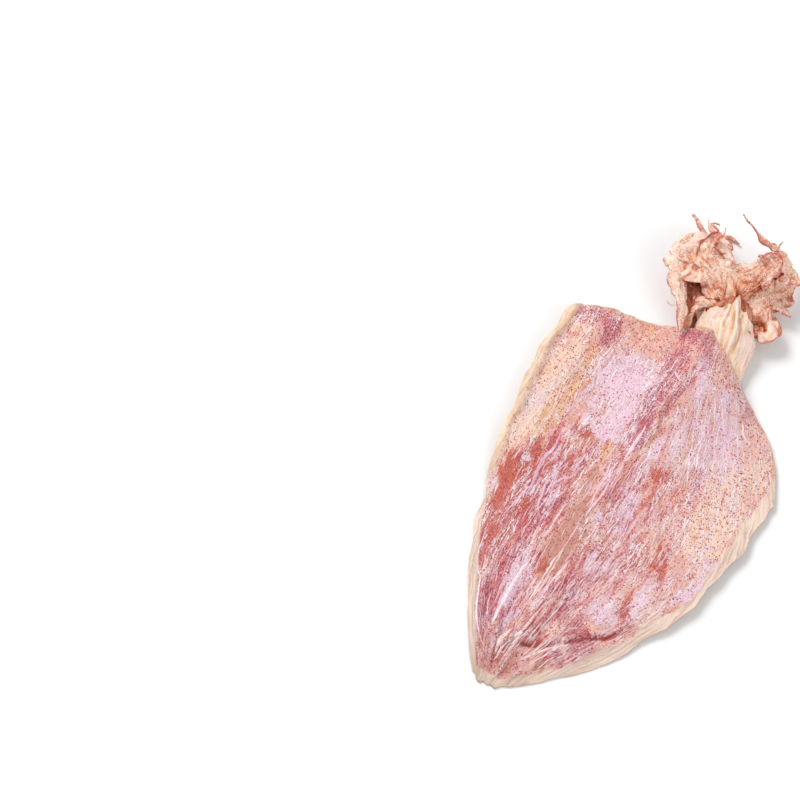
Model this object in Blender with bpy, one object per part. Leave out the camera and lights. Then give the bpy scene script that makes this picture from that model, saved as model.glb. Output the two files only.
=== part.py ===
# Dried squid: a split, flattened mantle with its neck, head, eight arms and two tentacles, dried into one piece.
# Metres, +Z up. It lies skin side up. +Y runs from the pointed tail towards the arms, and +X is to its right.

from math import cos, exp, pi, radians, sin

import bpy
import bmesh
from mathutils import Vector

MM = 0.001

# Driving dimensions of the mantle, measured from the tail's tip at X 0, Y 0.
MANTLE_LENGTH = 178 * MM
HALF_WIDTH = {"left": 56.5 * MM, "right": 56.5 * MM}
FULLEST_AT = {"left": 159 * MM, "right": 138 * MM}
TAIL_ROUNDNESS = {"left": 0.82, "right": 0.87}
SIDE_BULGE = {"left": 2.0, "right": 2.8}
TAIL_HALF_WIDTH = {"left": 4.8 * MM, "right": 1.5 * MM}
MARGIN_SLOPE = {"left": 17 * MM, "right": 36 * MM}
MARGIN_CORNER = {"left": 6 * MM, "right": 19 * MM}
MARGIN_CORNER_POWER = {"left": 14, "right": 8}

# Thickness and relief of the mantle.
THICKNESS = 2.4 * MM
RIM_THICKNESS = 1.3 * MM
HEM_HEIGHT = 3.4 * MM
HEM_SHARE = 0.10
PEN_RIDGE = 1.2 * MM
NECK_LIFT = 9.6 * MM
DRAPE_SPREAD = 17 * MM
LEFT_LIFT = 5.0 * MM
RIGHT_LIFT = 3.0 * MM
WAVE_HEIGHT = 1.5 * MM
TAIL_FOLD_HEIGHT = 1.3 * MM
TAIL_FOLD_REACH = 62 * MM

# Neck and head: centre line from under the mantle to the crown of the arms, with half widths and half heights.
NECK_ROOT = Vector((9, 146, 4.5)) * MM
NECK_MARGIN = Vector((10, 166, 4.2)) * MM
HEAD_CENTRE = Vector((7, 181, 7.0)) * MM
CROWN = Vector((0.5, 191.5, 12)) * MM
NECK_WAY = (HEAD_CENTRE - NECK_ROOT).normalized()
HEAD_HEIGHTS = (2.5 * MM, 3.8 * MM, 6.0 * MM, 5.5 * MM, 2.5 * MM)
NECK_HALF_WIDTH = 10.5 * MM
HEAD_HALF_WIDTH = 13.5 * MM
CROWN_HALF_WIDTH = 8 * MM
CROWN_END = CROWN + Vector((-3, 6, 1)) * MM
CROWN_END_HALF_WIDTH = 4 * MM
CROWN_RADIUS = (6 * MM, 5 * MM)

# One row for each arm, in degrees and millimetres. heading is clockwise from +Y seen from above, pitch is
# above the horizontal, swing and curl are the turns that these make around bend, a share of the length,
# tip is the last turn of the heading, roll turns the flat of the arm about its own line, and taper is 1 for
# an arm that narrows evenly and less for a flap that stays broad.
ARM_FACTS = ("heading", "pitch", "length", "swing", "curl", "bend", "tip", "width", "roll", "taper")
ARMS = {
    "left_long": (-45, 20, 68, -174, -38, 0.39, 9, 17, 20, 0.6),
    "left_flap": (-59, 19, 27, 49, 8, 0.62, 44, 17, 10, 0.35),
    "back": (-35, 4, 41.8, -44, -32, 0.62, 150, 8, 20, 0.7),
    "right_flap": (-9, 2, 24, 52, 40, 0.21, -92, 19, -10, 0.3),
    "right_long": (42, -12, 59, -133, 42, 0.41, 10, 19, -30, 1.4),
    "right_short": (3, -40, 25, 84, 30, 0.14, 17, 12, 0, 0.6),
    "front_curl": (80, -24, 33, 205, 36, 0.48, -245, 11, -20, 0.4),
    "left_short": (-115, -12, 24, -77, -8, 0.40, -17, 11, 0, 0.6),
}
TENTACLES = {
    "tentacle_left": (-26, -20, 41, -37, 31, 0.26, -8, 5, 0, 0.7),
    "tentacle_right": (-38, -39, 41.5, 6, 28, 0.14, 160, 5, 0, 0.7),
}
# Webs: the line along one arm and the line along another, as shares of their lengths, that each skin is
# stretched between, and how far below them it hangs, in millimetres.
WEBS = (
    ("left_short", 0.0, 0.80, "left_flap", 0.0, 0.80, 1.0),
    ("left_long", 0.42, 0.20, "left_long", 0.46, 0.68, 0.0),
    ("left_long", 0.0, 0.25, "left_flap", 0.0, 0.40, 0.0),
    ("left_short", 0.0, 1.00, "left_long", 0.35, 0.85, 3.5),
    ("left_flap", 0.0, 0.55, "back", 0.0, 0.55, 0.0),
    ("back", 0.0, 0.45, "right_flap", 0.0, 0.45, 0.0),
    ("right_flap", 0.0, 0.50, "right_long", 0.0, 0.50, 1.0),
    ("right_long", 0.0, 0.40, "right_short", 0.0, 0.40, 1.0),
    ("right_short", 0.0, 0.45, "front_curl", 0.0, 0.45, 1.5),
)
WEB_THICKNESS = 1.6 * MM
WEB_SAG = 0.3
# An arm's section, as shares of its half width: its thickness, the drop of its edges and their waves.
ARM_FLATNESS = 0.26
ARM_CUP = 0.30
RUFFLE = 0.20
RUFFLE_WAVES = 2.6
TIP_WIDTH = 1.1 * MM
CLUB_SWELL = 0.9
# The share of an arm's length that its bend takes, where its tip starts to turn, and how far it wanders.
TURN_SPAN = 0.56
TIP_TURN_FROM = 0.70
WOBBLE = radians(11)

# The bounding box's centre, seen from above, in the coordinates that start at the tail.
ORIGIN = Vector((-0.29, 113.34, 0)) * MM

MANTLE_ROWS = 40
MANTLE_COLUMNS = 28
ARM_RINGS = 16
ARM_SIDES = 12
WEB_ROWS = 7
WEB_COLUMNS = 4
WEB_STEPS = 28
HEAD_RINGS = 15
HEAD_SIDES = 36
PLEATS = 9
PLEAT_DEPTH = 0.13


def ramp(value):
    """0 below 0, 1 above 1, and smooth between."""
    value = min(max(value, 0.0), 1.0)
    return value * value * (3 - 2 * value)


def bump(value, centre, spread):
    return exp(-(((value - centre) / spread) ** 2))


def side_of(across):
    return "left" if across < 0 else "right"


def half_width(side, y):
    """Distance from the middle line to the mantle's side edge, at y from the tail."""
    share = min(y / FULLEST_AT[side], 1.0)
    body = (1 - (1 - share) ** SIDE_BULGE[side]) ** TAIL_ROUNDNESS[side]
    return TAIL_HALF_WIDTH[side] * (1 - share) + HALF_WIDTH[side] * body


def margin(across):
    """y of the mantle's open front edge, pointed in the middle, at across from -1 to 1."""
    side, share = side_of(across), abs(across)
    power = 0.8 if side == "right" else 1.0
    corner = MARGIN_CORNER[side] * share ** MARGIN_CORNER_POWER[side]
    return MANTLE_LENGTH - MARGIN_SLOPE[side] * share**power - corner


def outline_ripple(along, across):
    """The uneven side edge, as a share of the half width."""
    phase = 0.6 if across < 0 else 2.1
    return 1 + 0.012 * sin(23 * along + phase) + 0.008 * sin(51 * along + 2 * phase)


def mantle_plan(along, across):
    """(x, y) of the point at along from 0 at the tail to 1, and across from -1 to 1."""
    y = along * margin(across)
    x = across * half_width(side_of(across), y)
    return x * outline_ripple(along, across), y


def mantle_floor(x, y, across):
    """Height of the mantle's underside. It lies on the surface below, where this is 0."""
    along = y / MANTLE_LENGTH
    from_neck = abs(Vector((x - NECK_ROOT.x, y - NECK_ROOT.y)).cross(NECK_WAY.xy))
    neck = NECK_LIFT * ramp((along - 0.60) / 0.30) * bump(from_neck, 0, DRAPE_SPREAD)
    left = LEFT_LIFT * ramp((-across - 0.45) / 0.55) * ramp((along - 0.2) / 0.6)
    right = RIGHT_LIFT * ramp((across - 0.6) / 0.4) * bump(along, 0.55, 0.22)
    waves = WAVE_HEIGHT * sin(3.1 * across + 4.5 * along) * sin(9.5 * along + 1.3 * across)
    return max(neck + left + right + waves * ramp(along / 0.3), 0.0)


def mantle_relief(x, y, across):
    """Height of the mantle's outer skin above its underside."""
    along = y / MANTLE_LENGTH
    inner = ramp((1 - abs(across)) / 0.3) * ramp(along / 0.08)
    skin = RIM_THICKNESS + (THICKNESS - RIM_THICKNESS) * inner
    hem = ramp((-across - 1 + HEM_SHARE) / HEM_SHARE * 1.6) * ramp((along - 0.3) / 0.35)
    pen = bump(x, 0, 3.2 * MM) * ramp((along - 0.12) / 0.2)
    fan = sin(13 * across + 0.8) * (1 - across * across)
    folds = bump(y, 0.35 * TAIL_FOLD_REACH, 0.5 * TAIL_FOLD_REACH) * fan * ramp(along / 0.06)
    return skin + HEM_HEIGHT * hem + PEN_RIDGE * pen + TAIL_FOLD_HEIGHT * max(folds, -0.5)


def object_from(name, points, faces):
    """A mesh object with one closed surface, its faces pointing out."""
    mesh = bpy.data.meshes.new(name)
    mesh.from_pydata([tuple(p - ORIGIN) for p in points], [], faces)
    shape = bmesh.new()
    shape.from_mesh(mesh)
    bmesh.ops.recalc_face_normals(shape, faces=shape.faces)
    shape.to_mesh(mesh)
    shape.free()
    made = bpy.data.objects.new(name, mesh)
    bpy.context.scene.collection.objects.link(made)
    return made


def sheet_solid(name, top, bottom, rows, columns):
    """A thin sheet: two faces of the same triangles, joined round the edge."""
    faces, under, width = [], len(top), columns + 1
    for row in range(rows):
        for column in range(columns):
            a = row * width + column
            b, c, d = a + 1, a + width + 1, a + width
            halves = [(a, b, c), (a, c, d)] if (row + column) % 2 else [(a, b, d), (b, c, d)]
            for i, j, k in halves:
                faces += [(i, j, k), (under + k, under + j, under + i)]
    last = rows * width
    rim = list(range(width)) + list(range(2 * width - 1, last + width, width))
    rim += list(range(last + width - 2, last - 1, -1)) + list(range(last - width, 0, -width))
    for i, j in zip(rim, rim[1:] + rim[:1]):
        faces += [(j, i, under + i), (j, under + i, under + j)]
    return object_from(name, top + bottom, faces)


def mantle():
    """The mantle's two faces, worked out from its outline, its underside and its relief."""
    top, bottom = [], []
    for row in range(MANTLE_ROWS + 1):
        along = (row / MANTLE_ROWS) ** 1.1
        for column in range(MANTLE_COLUMNS + 1):
            across = sin(pi / 2 * (2 * column / MANTLE_COLUMNS - 1) * 0.9) / sin(pi / 2 * 0.9)
            x, y = mantle_plan(along, across)
            low = mantle_floor(x, y, across)
            bottom.append(Vector((x, y, low)))
            top.append(Vector((x, y, low + mantle_relief(x, y, across))))
    return sheet_solid("dried_squid", top, bottom, MANTLE_ROWS, MANTLE_COLUMNS)


def loft(name, rings):
    """A closed solid through rings of equally many points, with a flat cap at each end."""
    sides, faces = len(rings[0]), []
    for ring in range(len(rings) - 1):
        for side in range(sides):
            a, b = ring * sides + side, ring * sides + (side + 1) % sides
            faces += [(a, b, b + sides), (a, b + sides, a + sides)]
    start = (len(rings) - 1) * sides
    faces += [tuple(reversed(range(sides))), tuple(range(start, start + sides))]
    return object_from(name, [point for ring in rings for point in ring], faces)


def grounded(point, clearance=0.0):
    return Vector((point.x, point.y, max(point.z, clearance)))


def head():
    """Neck and head: flat under the mantle, then a lump that ends in the crown of the arms."""
    knots = (NECK_ROOT, NECK_MARGIN, HEAD_CENTRE, CROWN, CROWN_END)
    widths = (NECK_HALF_WIDTH * 0.5, NECK_HALF_WIDTH, HEAD_HALF_WIDTH, CROWN_HALF_WIDTH, CROWN_END_HALF_WIDTH)
    heights = HEAD_HEIGHTS
    along_neck = (CROWN - NECK_ROOT).normalized()
    sideways = Vector((along_neck.y, -along_neck.x, 0)).normalized()
    rings = []
    for ring in range(HEAD_RINGS + 1):
        place = ring / HEAD_RINGS * (len(knots) - 1)
        k = min(int(place), len(knots) - 2)
        share = ramp(place - k)
        centre = knots[k].lerp(knots[k + 1], place - k)
        wide = widths[k] + (widths[k + 1] - widths[k]) * share
        tall = heights[k] + (heights[k + 1] - heights[k]) * share
        points = []
        for side in range(HEAD_SIDES):
            turn = 2 * pi * side / HEAD_SIDES
            lump = 1 + PLEAT_DEPTH * sin(PLEATS * turn + 1.1 * place) + 0.06 * sin(3 * turn + 2.3 * place)
            offset = sideways * (wide * lump * cos(turn)) + Vector((0, 0, tall * lump * sin(turn)))
            points.append(grounded(centre + offset))
        rings.append(points)
    return loft("head", rings)


def arm_centres(facts, rings, phase):
    """Points along an arm with the directions across its width and through its thickness."""
    fact = dict(zip(ARM_FACTS, facts))
    heading, pitch = radians(fact["heading"]), radians(fact["pitch"])
    point = CROWN + Vector((sin(heading) * CROWN_RADIUS[0], cos(heading) * CROWN_RADIUS[1], 0))
    step = fact["length"] * MM / rings
    found = []
    for ring in range(rings + 1):
        share = ring / rings
        turned = ramp((share - fact["bend"]) / TURN_SPAN + 0.5)
        bearing = heading + radians(fact["swing"]) * turned
        bearing += radians(fact["tip"]) * ramp((share - TIP_TURN_FROM) / (1 - TIP_TURN_FROM))
        bearing += WOBBLE * sin(5 * pi * share + phase) * share
        rise = pitch + radians(fact["curl"]) * turned
        ahead = Vector((sin(bearing) * cos(rise), cos(bearing) * cos(rise), sin(rise)))
        flat = Vector((cos(bearing), -sin(bearing), 0))
        upright = flat.cross(ahead)
        roll = radians(fact["roll"])
        across = flat * cos(roll) + upright * sin(roll)
        through = upright * cos(roll) - flat * sin(roll)
        found.append((share, point.copy(), across, through))
        point = point + ahead * step
    return fact, found


def phase_of(name):
    """Where the arm's wobble starts, different for each arm."""
    return 1.7 * list(ARMS).index(name)


def arm(name, facts, phase, club=0.0):
    """A flat arm that tapers to a thread, its edges cupped and ruffled. A tentacle ends in a club."""
    fact, centres = arm_centres(facts, ARM_RINGS, phase)
    rings = []
    for share, point, across, through in centres:
        wide = fact["width"] * MM * ((1 - share) ** fact["taper"] + club * bump(share, 0.82, 0.1)) / 2
        wide = max(wide, TIP_WIDTH / 2)
        thick = wide * (ARM_FLATNESS + 0.5 * share)
        points = []
        for side in range(ARM_SIDES):
            turn = 2 * pi * side / ARM_SIDES
            edge = cos(turn)
            wave = sin(2 * pi * RUFFLE_WAVES * share + phase + 1.3 * edge)
            lift = wide * edge * edge * (RUFFLE * wave * ramp(share / 0.3) - ARM_CUP)
            points.append(grounded(point + across * (wide * edge) + through * (thick * sin(turn) + lift)))
        rings.append(points)
    return loft(name, rings)


def between(name, low, high):
    """Points along an arm's middle line, from the share low to the share high."""
    line = arm_centres(ARMS[name], WEB_STEPS, phase_of(name))[1]
    found = []
    for row in range(WEB_ROWS + 1):
        place = (low + (high - low) * row / WEB_ROWS) * WEB_STEPS
        k = min(int(place), WEB_STEPS - 1)
        found.append(line[k][1].lerp(line[k + 1][1], place - k))
    return found


def web(number, first, second, drop):
    """A thin skin between two lines, with a free edge that bows in towards the crown."""
    grid = []
    for row, (a, b) in enumerate(zip(between(*first), between(*second))):
        points = []
        for column in range(WEB_COLUMNS + 1):
            share = column / WEB_COLUMNS
            bow = 4 * share * (1 - share)
            point = a.lerp(b, share).lerp(CROWN, WEB_SAG * bow * row / WEB_ROWS)
            points.append(point - Vector((0, 0, drop * MM * bow)))
        grid.append(points)
    normals = []
    for row in range(WEB_ROWS + 1):
        for column in range(WEB_COLUMNS + 1):
            ahead = grid[min(row + 1, WEB_ROWS)][column] - grid[max(row - 1, 0)][column]
            across = grid[row][min(column + 1, WEB_COLUMNS)] - grid[row][max(column - 1, 0)]
            normals.append(ahead.cross(across).normalized() * (WEB_THICKNESS / 2))
    upward = 1 if sum(normal.z for normal in normals) > 0 else -1
    points = [point for line in grid for point in line]
    top = [grounded(point + normal * upward, WEB_THICKNESS) for point, normal in zip(points, normals)]
    bottom = [grounded(point - normal * upward) for point, normal in zip(points, normals)]
    return sheet_solid(f"web_{number}", top, bottom, WEB_ROWS, WEB_COLUMNS)


def keep_outer_shell(mesh):
    """Removes the shells that fusing leaves inside, which fills their hollows, and any loose scrap."""
    shape = bmesh.new()
    shape.from_mesh(mesh)
    left, shells = set(shape.verts), []
    while left:
        shell, edge = set(), [left.pop()]
        while edge:
            vert = edge.pop()
            shell.add(vert)
            near = {link.other_vert(vert) for link in vert.link_edges} & left
            left -= near
            edge += near
        shells.append(shell)
    shells.sort(key=len)
    for shell in shells[:-1]:
        bmesh.ops.delete(shape, geom=list(shell), context="VERTS")
    shape.to_mesh(mesh)
    shape.free()


def joined(base, pieces):
    """One solid from base and all the pieces, which are then removed."""
    group = bpy.data.collections.new("pieces")
    bpy.context.scene.collection.children.link(group)
    for piece in pieces:
        bpy.context.scene.collection.objects.unlink(piece)
        group.objects.link(piece)
    union = base.modifiers.new("union", "BOOLEAN")
    union.operation = "UNION"
    union.operand_type = "COLLECTION"
    union.collection = group
    # With EXACT the result was two separate bodies. With MANIFOLD it is one.
    union.solver = "MANIFOLD"
    bpy.context.view_layer.update()
    graph = bpy.context.evaluated_depsgraph_get()
    whole = bpy.data.meshes.new_from_object(base.evaluated_get(graph))
    keep_outer_shell(whole)
    base.modifiers.clear()
    base.data = whole
    for piece in pieces:
        bpy.data.objects.remove(piece)
    bpy.data.collections.remove(group)
    return base


def skin_material():
    material = bpy.data.materials.new("dried_skin")
    material.use_nodes = True
    shader = material.node_tree.nodes["Principled BSDF"]
    shader.inputs["Base Color"].default_value = (0.80, 0.48, 0.36, 1)
    shader.inputs["Roughness"].default_value = 0.55
    shader.inputs["Metallic"].default_value = 0.0
    return material


def main():
    for old in list(bpy.data.objects):
        bpy.data.objects.remove(old)
    pieces = [head()]
    for name, facts in ARMS.items():
        pieces.append(arm(name, facts, phase_of(name)))
    for number, (name, facts) in enumerate(TENTACLES.items()):
        pieces.append(arm(name, facts, 2.3 * number, CLUB_SWELL))
    for number, row in enumerate(WEBS):
        pieces.append(web(number, row[:3], row[3:6], row[6]))
    squid = joined(mantle(), pieces)
    squid.data.materials.clear()
    squid.data.materials.append(skin_material())
    squid.data.shade_smooth()


main()
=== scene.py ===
# Looks of the dried squid: a fine mantle with shreds of film on it, the pleated head, the crumpled arms and
# their suckers, the skins' colours, and the light. Metres, +Z up. The frame's origin is the middle of the
# object's box. Shapes are worked out in coordinates that start at the tail's tip, with +Y towards the arms,
# and are shifted by ORIGIN when a mesh is made.

from math import cos, pi, radians, sin
from types import SimpleNamespace

import bpy
import numpy as np
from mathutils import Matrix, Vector
from mathutils.bvhtree import BVHTree


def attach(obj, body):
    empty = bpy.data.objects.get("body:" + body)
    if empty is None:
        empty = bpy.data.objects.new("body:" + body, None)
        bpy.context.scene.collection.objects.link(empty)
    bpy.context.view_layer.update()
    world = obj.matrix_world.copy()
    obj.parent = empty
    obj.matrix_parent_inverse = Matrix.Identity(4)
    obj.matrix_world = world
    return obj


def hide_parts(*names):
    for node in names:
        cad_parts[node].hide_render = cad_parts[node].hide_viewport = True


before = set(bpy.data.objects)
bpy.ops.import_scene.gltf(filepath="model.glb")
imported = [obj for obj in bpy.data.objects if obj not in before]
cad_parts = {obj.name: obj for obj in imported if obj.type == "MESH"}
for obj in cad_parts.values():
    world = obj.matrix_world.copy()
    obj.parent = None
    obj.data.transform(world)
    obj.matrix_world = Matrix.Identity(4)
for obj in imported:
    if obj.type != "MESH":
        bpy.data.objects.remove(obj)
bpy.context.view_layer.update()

MM = 0.001
ORIGIN = np.array((-0.29, 113.34, 0)) * MM

# The mantle's outline, as in the solid.
MANTLE_LENGTH = 178 * MM
HALF_WIDTH = {"left": 56.5 * MM, "right": 56.5 * MM}
FULLEST_AT = {"left": 159 * MM, "right": 138 * MM}
TAIL_ROUNDNESS = {"left": 0.82, "right": 0.87}
SIDE_BULGE = {"left": 2.0, "right": 2.8}
TAIL_HALF_WIDTH = {"left": 4.8 * MM, "right": 1.5 * MM}
MARGIN_SLOPE = {"left": 17 * MM, "right": 36 * MM}
MARGIN_CORNER = {"left": 6 * MM, "right": 19 * MM}
MARGIN_CORNER_POWER = {"left": 14, "right": 8}
MARGIN_POWER = {"left": 1.0, "right": 0.8}
RIPPLE_PHASE = {"left": 0.6, "right": 2.1}

# The mantle's thickness and relief. The rim and the rolled edge are thinner than the solid's.
THICKNESS = 2.2 * MM
RIM_THICKNESS = 0.7 * MM
HEM_HEIGHT = 2.4 * MM
HEM_SHARE = 0.10
PEN_RIDGE = 1.2 * MM
NECK_LIFT = 9.6 * MM
DRAPE_SPREAD = 17 * MM
LEFT_LIFT = 5.0 * MM
RIGHT_LIFT = 3.0 * MM
WAVE_HEIGHT = 1.5 * MM
TAIL_FOLD_HEIGHT = 1.3 * MM
TAIL_FOLD_REACH = 62 * MM
FIBRE_DEPTH = 0.22 * MM
FINE_FIBRE_DEPTH = 0.12 * MM
LUMP_DEPTH = 0.45 * MM
PUCKER_HEIGHT = 0.9 * MM
EDGE_NICKS = 0.5 * MM
POINT_WEAR = 2.5 * MM
PEN_X = -1.5 * MM

# Neck and head, and the crown that the arms grow from.
NECK_ROOT = np.array((9, 146, 4.5)) * MM
HEAD_CENTRE = np.array((7, 181, 7.0)) * MM
CROWN = np.array((0.5, 191.5, 12)) * MM
NECK_WAY = (HEAD_CENTRE - NECK_ROOT) / np.linalg.norm(HEAD_CENTRE - NECK_ROOT)
CROWN_RADIUS = (6 * MM, 5 * MM)

# The collar of skin round the head: a flattened tube through four knots, open at the crown. Its pleats run
# along it: place across from -1 on the left to 1, half width as a share of the tube's, and height.
COLLAR_KNOTS = np.array(((9, 146, 4.5), (8.4, 166, 4.2), (4.6, 179, 7.0), (1.9, 187.5, 10.0))) * MM
COLLAR_WIDTHS = np.array((6, 11.0, 12.8, 10.6)) * MM
COLLAR_HEIGHTS = np.array((2.2, 3.4, 5.8, 5.4)) * MM
COLLAR_WALL = 0.9 * MM
MOUTH_BULGE = 9 * MM
PLEATS = (
    (-0.70, 0.25, 0.9 * MM),
    (-0.20, 0.06, 1.2 * MM),
    (0.12, 0.11, 3.4 * MM),
    (0.56, 0.16, 1.2 * MM),
    (0.86, 0.06, 0.7 * MM),
)

# One row for each arm, in degrees and millimetres. heading is clockwise from +Y seen from above, pitch is
# above the horizontal, swing and curl are the turns that these make around bend, a share of the length,
# tip is the last turn of the heading, roll turns the flat of the arm about its own line, and taper is 1 for
# an arm that narrows evenly and less for a flap that stays broad.
ARM_FACTS = ("heading", "pitch", "length", "swing", "curl", "bend", "tip", "width", "roll", "taper")
ARMS = {
    "left_long": (-45, 20, 68, -174, -38, 0.39, 9, 17, 20, 0.6),
    "left_flap": (-59, 19, 27, 49, 8, 0.62, 44, 17, 10, 0.35),
    "back": (-35, 4, 41.8, -44, -32, 0.62, 150, 8, 20, 0.7),
    "right_flap": (-9, 2, 24, 52, 40, 0.21, -92, 19, -10, 0.3),
    "right_long": (42, -12, 59, -133, 42, 0.41, 10, 19, -30, 1.15),
    "right_short": (3, -40, 25, 84, 30, 0.14, 17, 12, 0, 0.6),
    "front_curl": (80, -24, 33, 205, 36, 0.48, -245, 11, -20, 0.4),
    "left_short": (-115, -12, 24, -77, -8, 0.40, -17, 11, 0, 0.6),
}
TENTACLES = {
    "tentacle_left": (-26, -20, 41, -37, 31, 0.26, -8, 5, 0, 0.7),
    "tentacle_right": (-38, -39, 41.5, 6, 28, 0.14, 160, 5, 0, 0.7),
}
# Webs: the line along one arm and the line along another that each skin is stretched between, and how far
# below them it hangs, in millimetres.
# The further a web hangs below the arms, the darker its skin is painted, as painted shade.
WEBS = (
    ("left_short", 0.0, 0.80, "left_flap", 0.0, 0.80, 1.0),
    ("left_long", 0.42, 0.20, "left_long", 0.46, 0.68, 0.0),
    ("left_long", 0.0, 0.25, "left_flap", 0.0, 0.40, 0.0),
    ("left_short", 0.0, 1.00, "left_long", 0.35, 0.85, 3.5),
    ("left_flap", 0.0, 0.55, "back", 0.0, 0.55, 0.0),
    ("back", 0.0, 0.45, "right_flap", 0.0, 0.45, 0.0),
    ("right_flap", 0.0, 0.50, "right_long", 0.0, 0.50, 1.0),
    ("right_long", 0.0, 0.40, "right_short", 0.0, 0.40, 1.0),
    ("right_short", 0.0, 0.45, "front_curl", 0.0, 0.45, 1.5),
)
# The arms whose suckers face up.
OPEN_ARMS = ("left_flap", "right_flap", "right_long", "right_short")
# How much an arm is crumpled, where it is less than the others.
CRUMPLING = {"right_long": 0.45, "left_long": 0.65, "left_flap": 0.65, "right_flap": 0.65}
# Thin strips that fray from an arm: the arm, the place along it and across it, then the heading, pitch,
# length, curl and width of the strip.
STRIPS = (
    ("left_flap", 0.95, -0.7, -85, 20, 7, 50, 0.8),
    ("left_flap", 0.97, 0.1, -35, 30, 6, -60, 0.8),
    ("left_flap", 0.92, 0.8, 20, 15, 7, -50, 0.9),
    ("left_long", 0.80, 0.9, 170, -20, 6, 120, 1.2),
    ("right_long", 0.62, 0.9, -60, 10, 5, 140, 1.0),
    ("right_flap", 0.95, 0.9, 60, 20, 6, 150, 1.2),
    ("front_curl", 0.85, -0.8, 120, 5, 8, 200, 1.6),
    ("front_curl", 0.70, 0.9, 60, 15, 8, -200, 1.6),
)
RIB_THICKNESS = 1.7 * MM
MEMBRANE_THICKNESS = 0.45 * MM
WEB_SAG = 0.3
WEB_THICKNESS = 0.6 * MM
STRIP_THICKNESS = 0.45 * MM
ARM_CURL = 0.75
RIM_ROLL = 2.6
RUFFLE = 1.5 * MM
TIP_WIDTH = 1.2 * MM
CLUB_SWELL = 0.3
TURN_SPAN = 0.56
TIP_TURN_FROM = 0.70
WOBBLE = radians(11)
ARM_CELL = 0.37 * MM
# Every arm grows out of this point inside the collar, and reaches its own place in this length.
ROOT = CROWN + np.array((0.6, -4.0, -2.5)) * MM
ROOT_LENGTH = 7 * MM
SUCKER_SPACING = 2.3 * MM
SUCKER_RADIUS = 0.66 * MM
# How far and with how many rays each point's shut-in share is found, which sets the painted shade in the
# hollows.
HOLLOW_REACH = 8 * MM
HOLLOW_RAYS = 14
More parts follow.
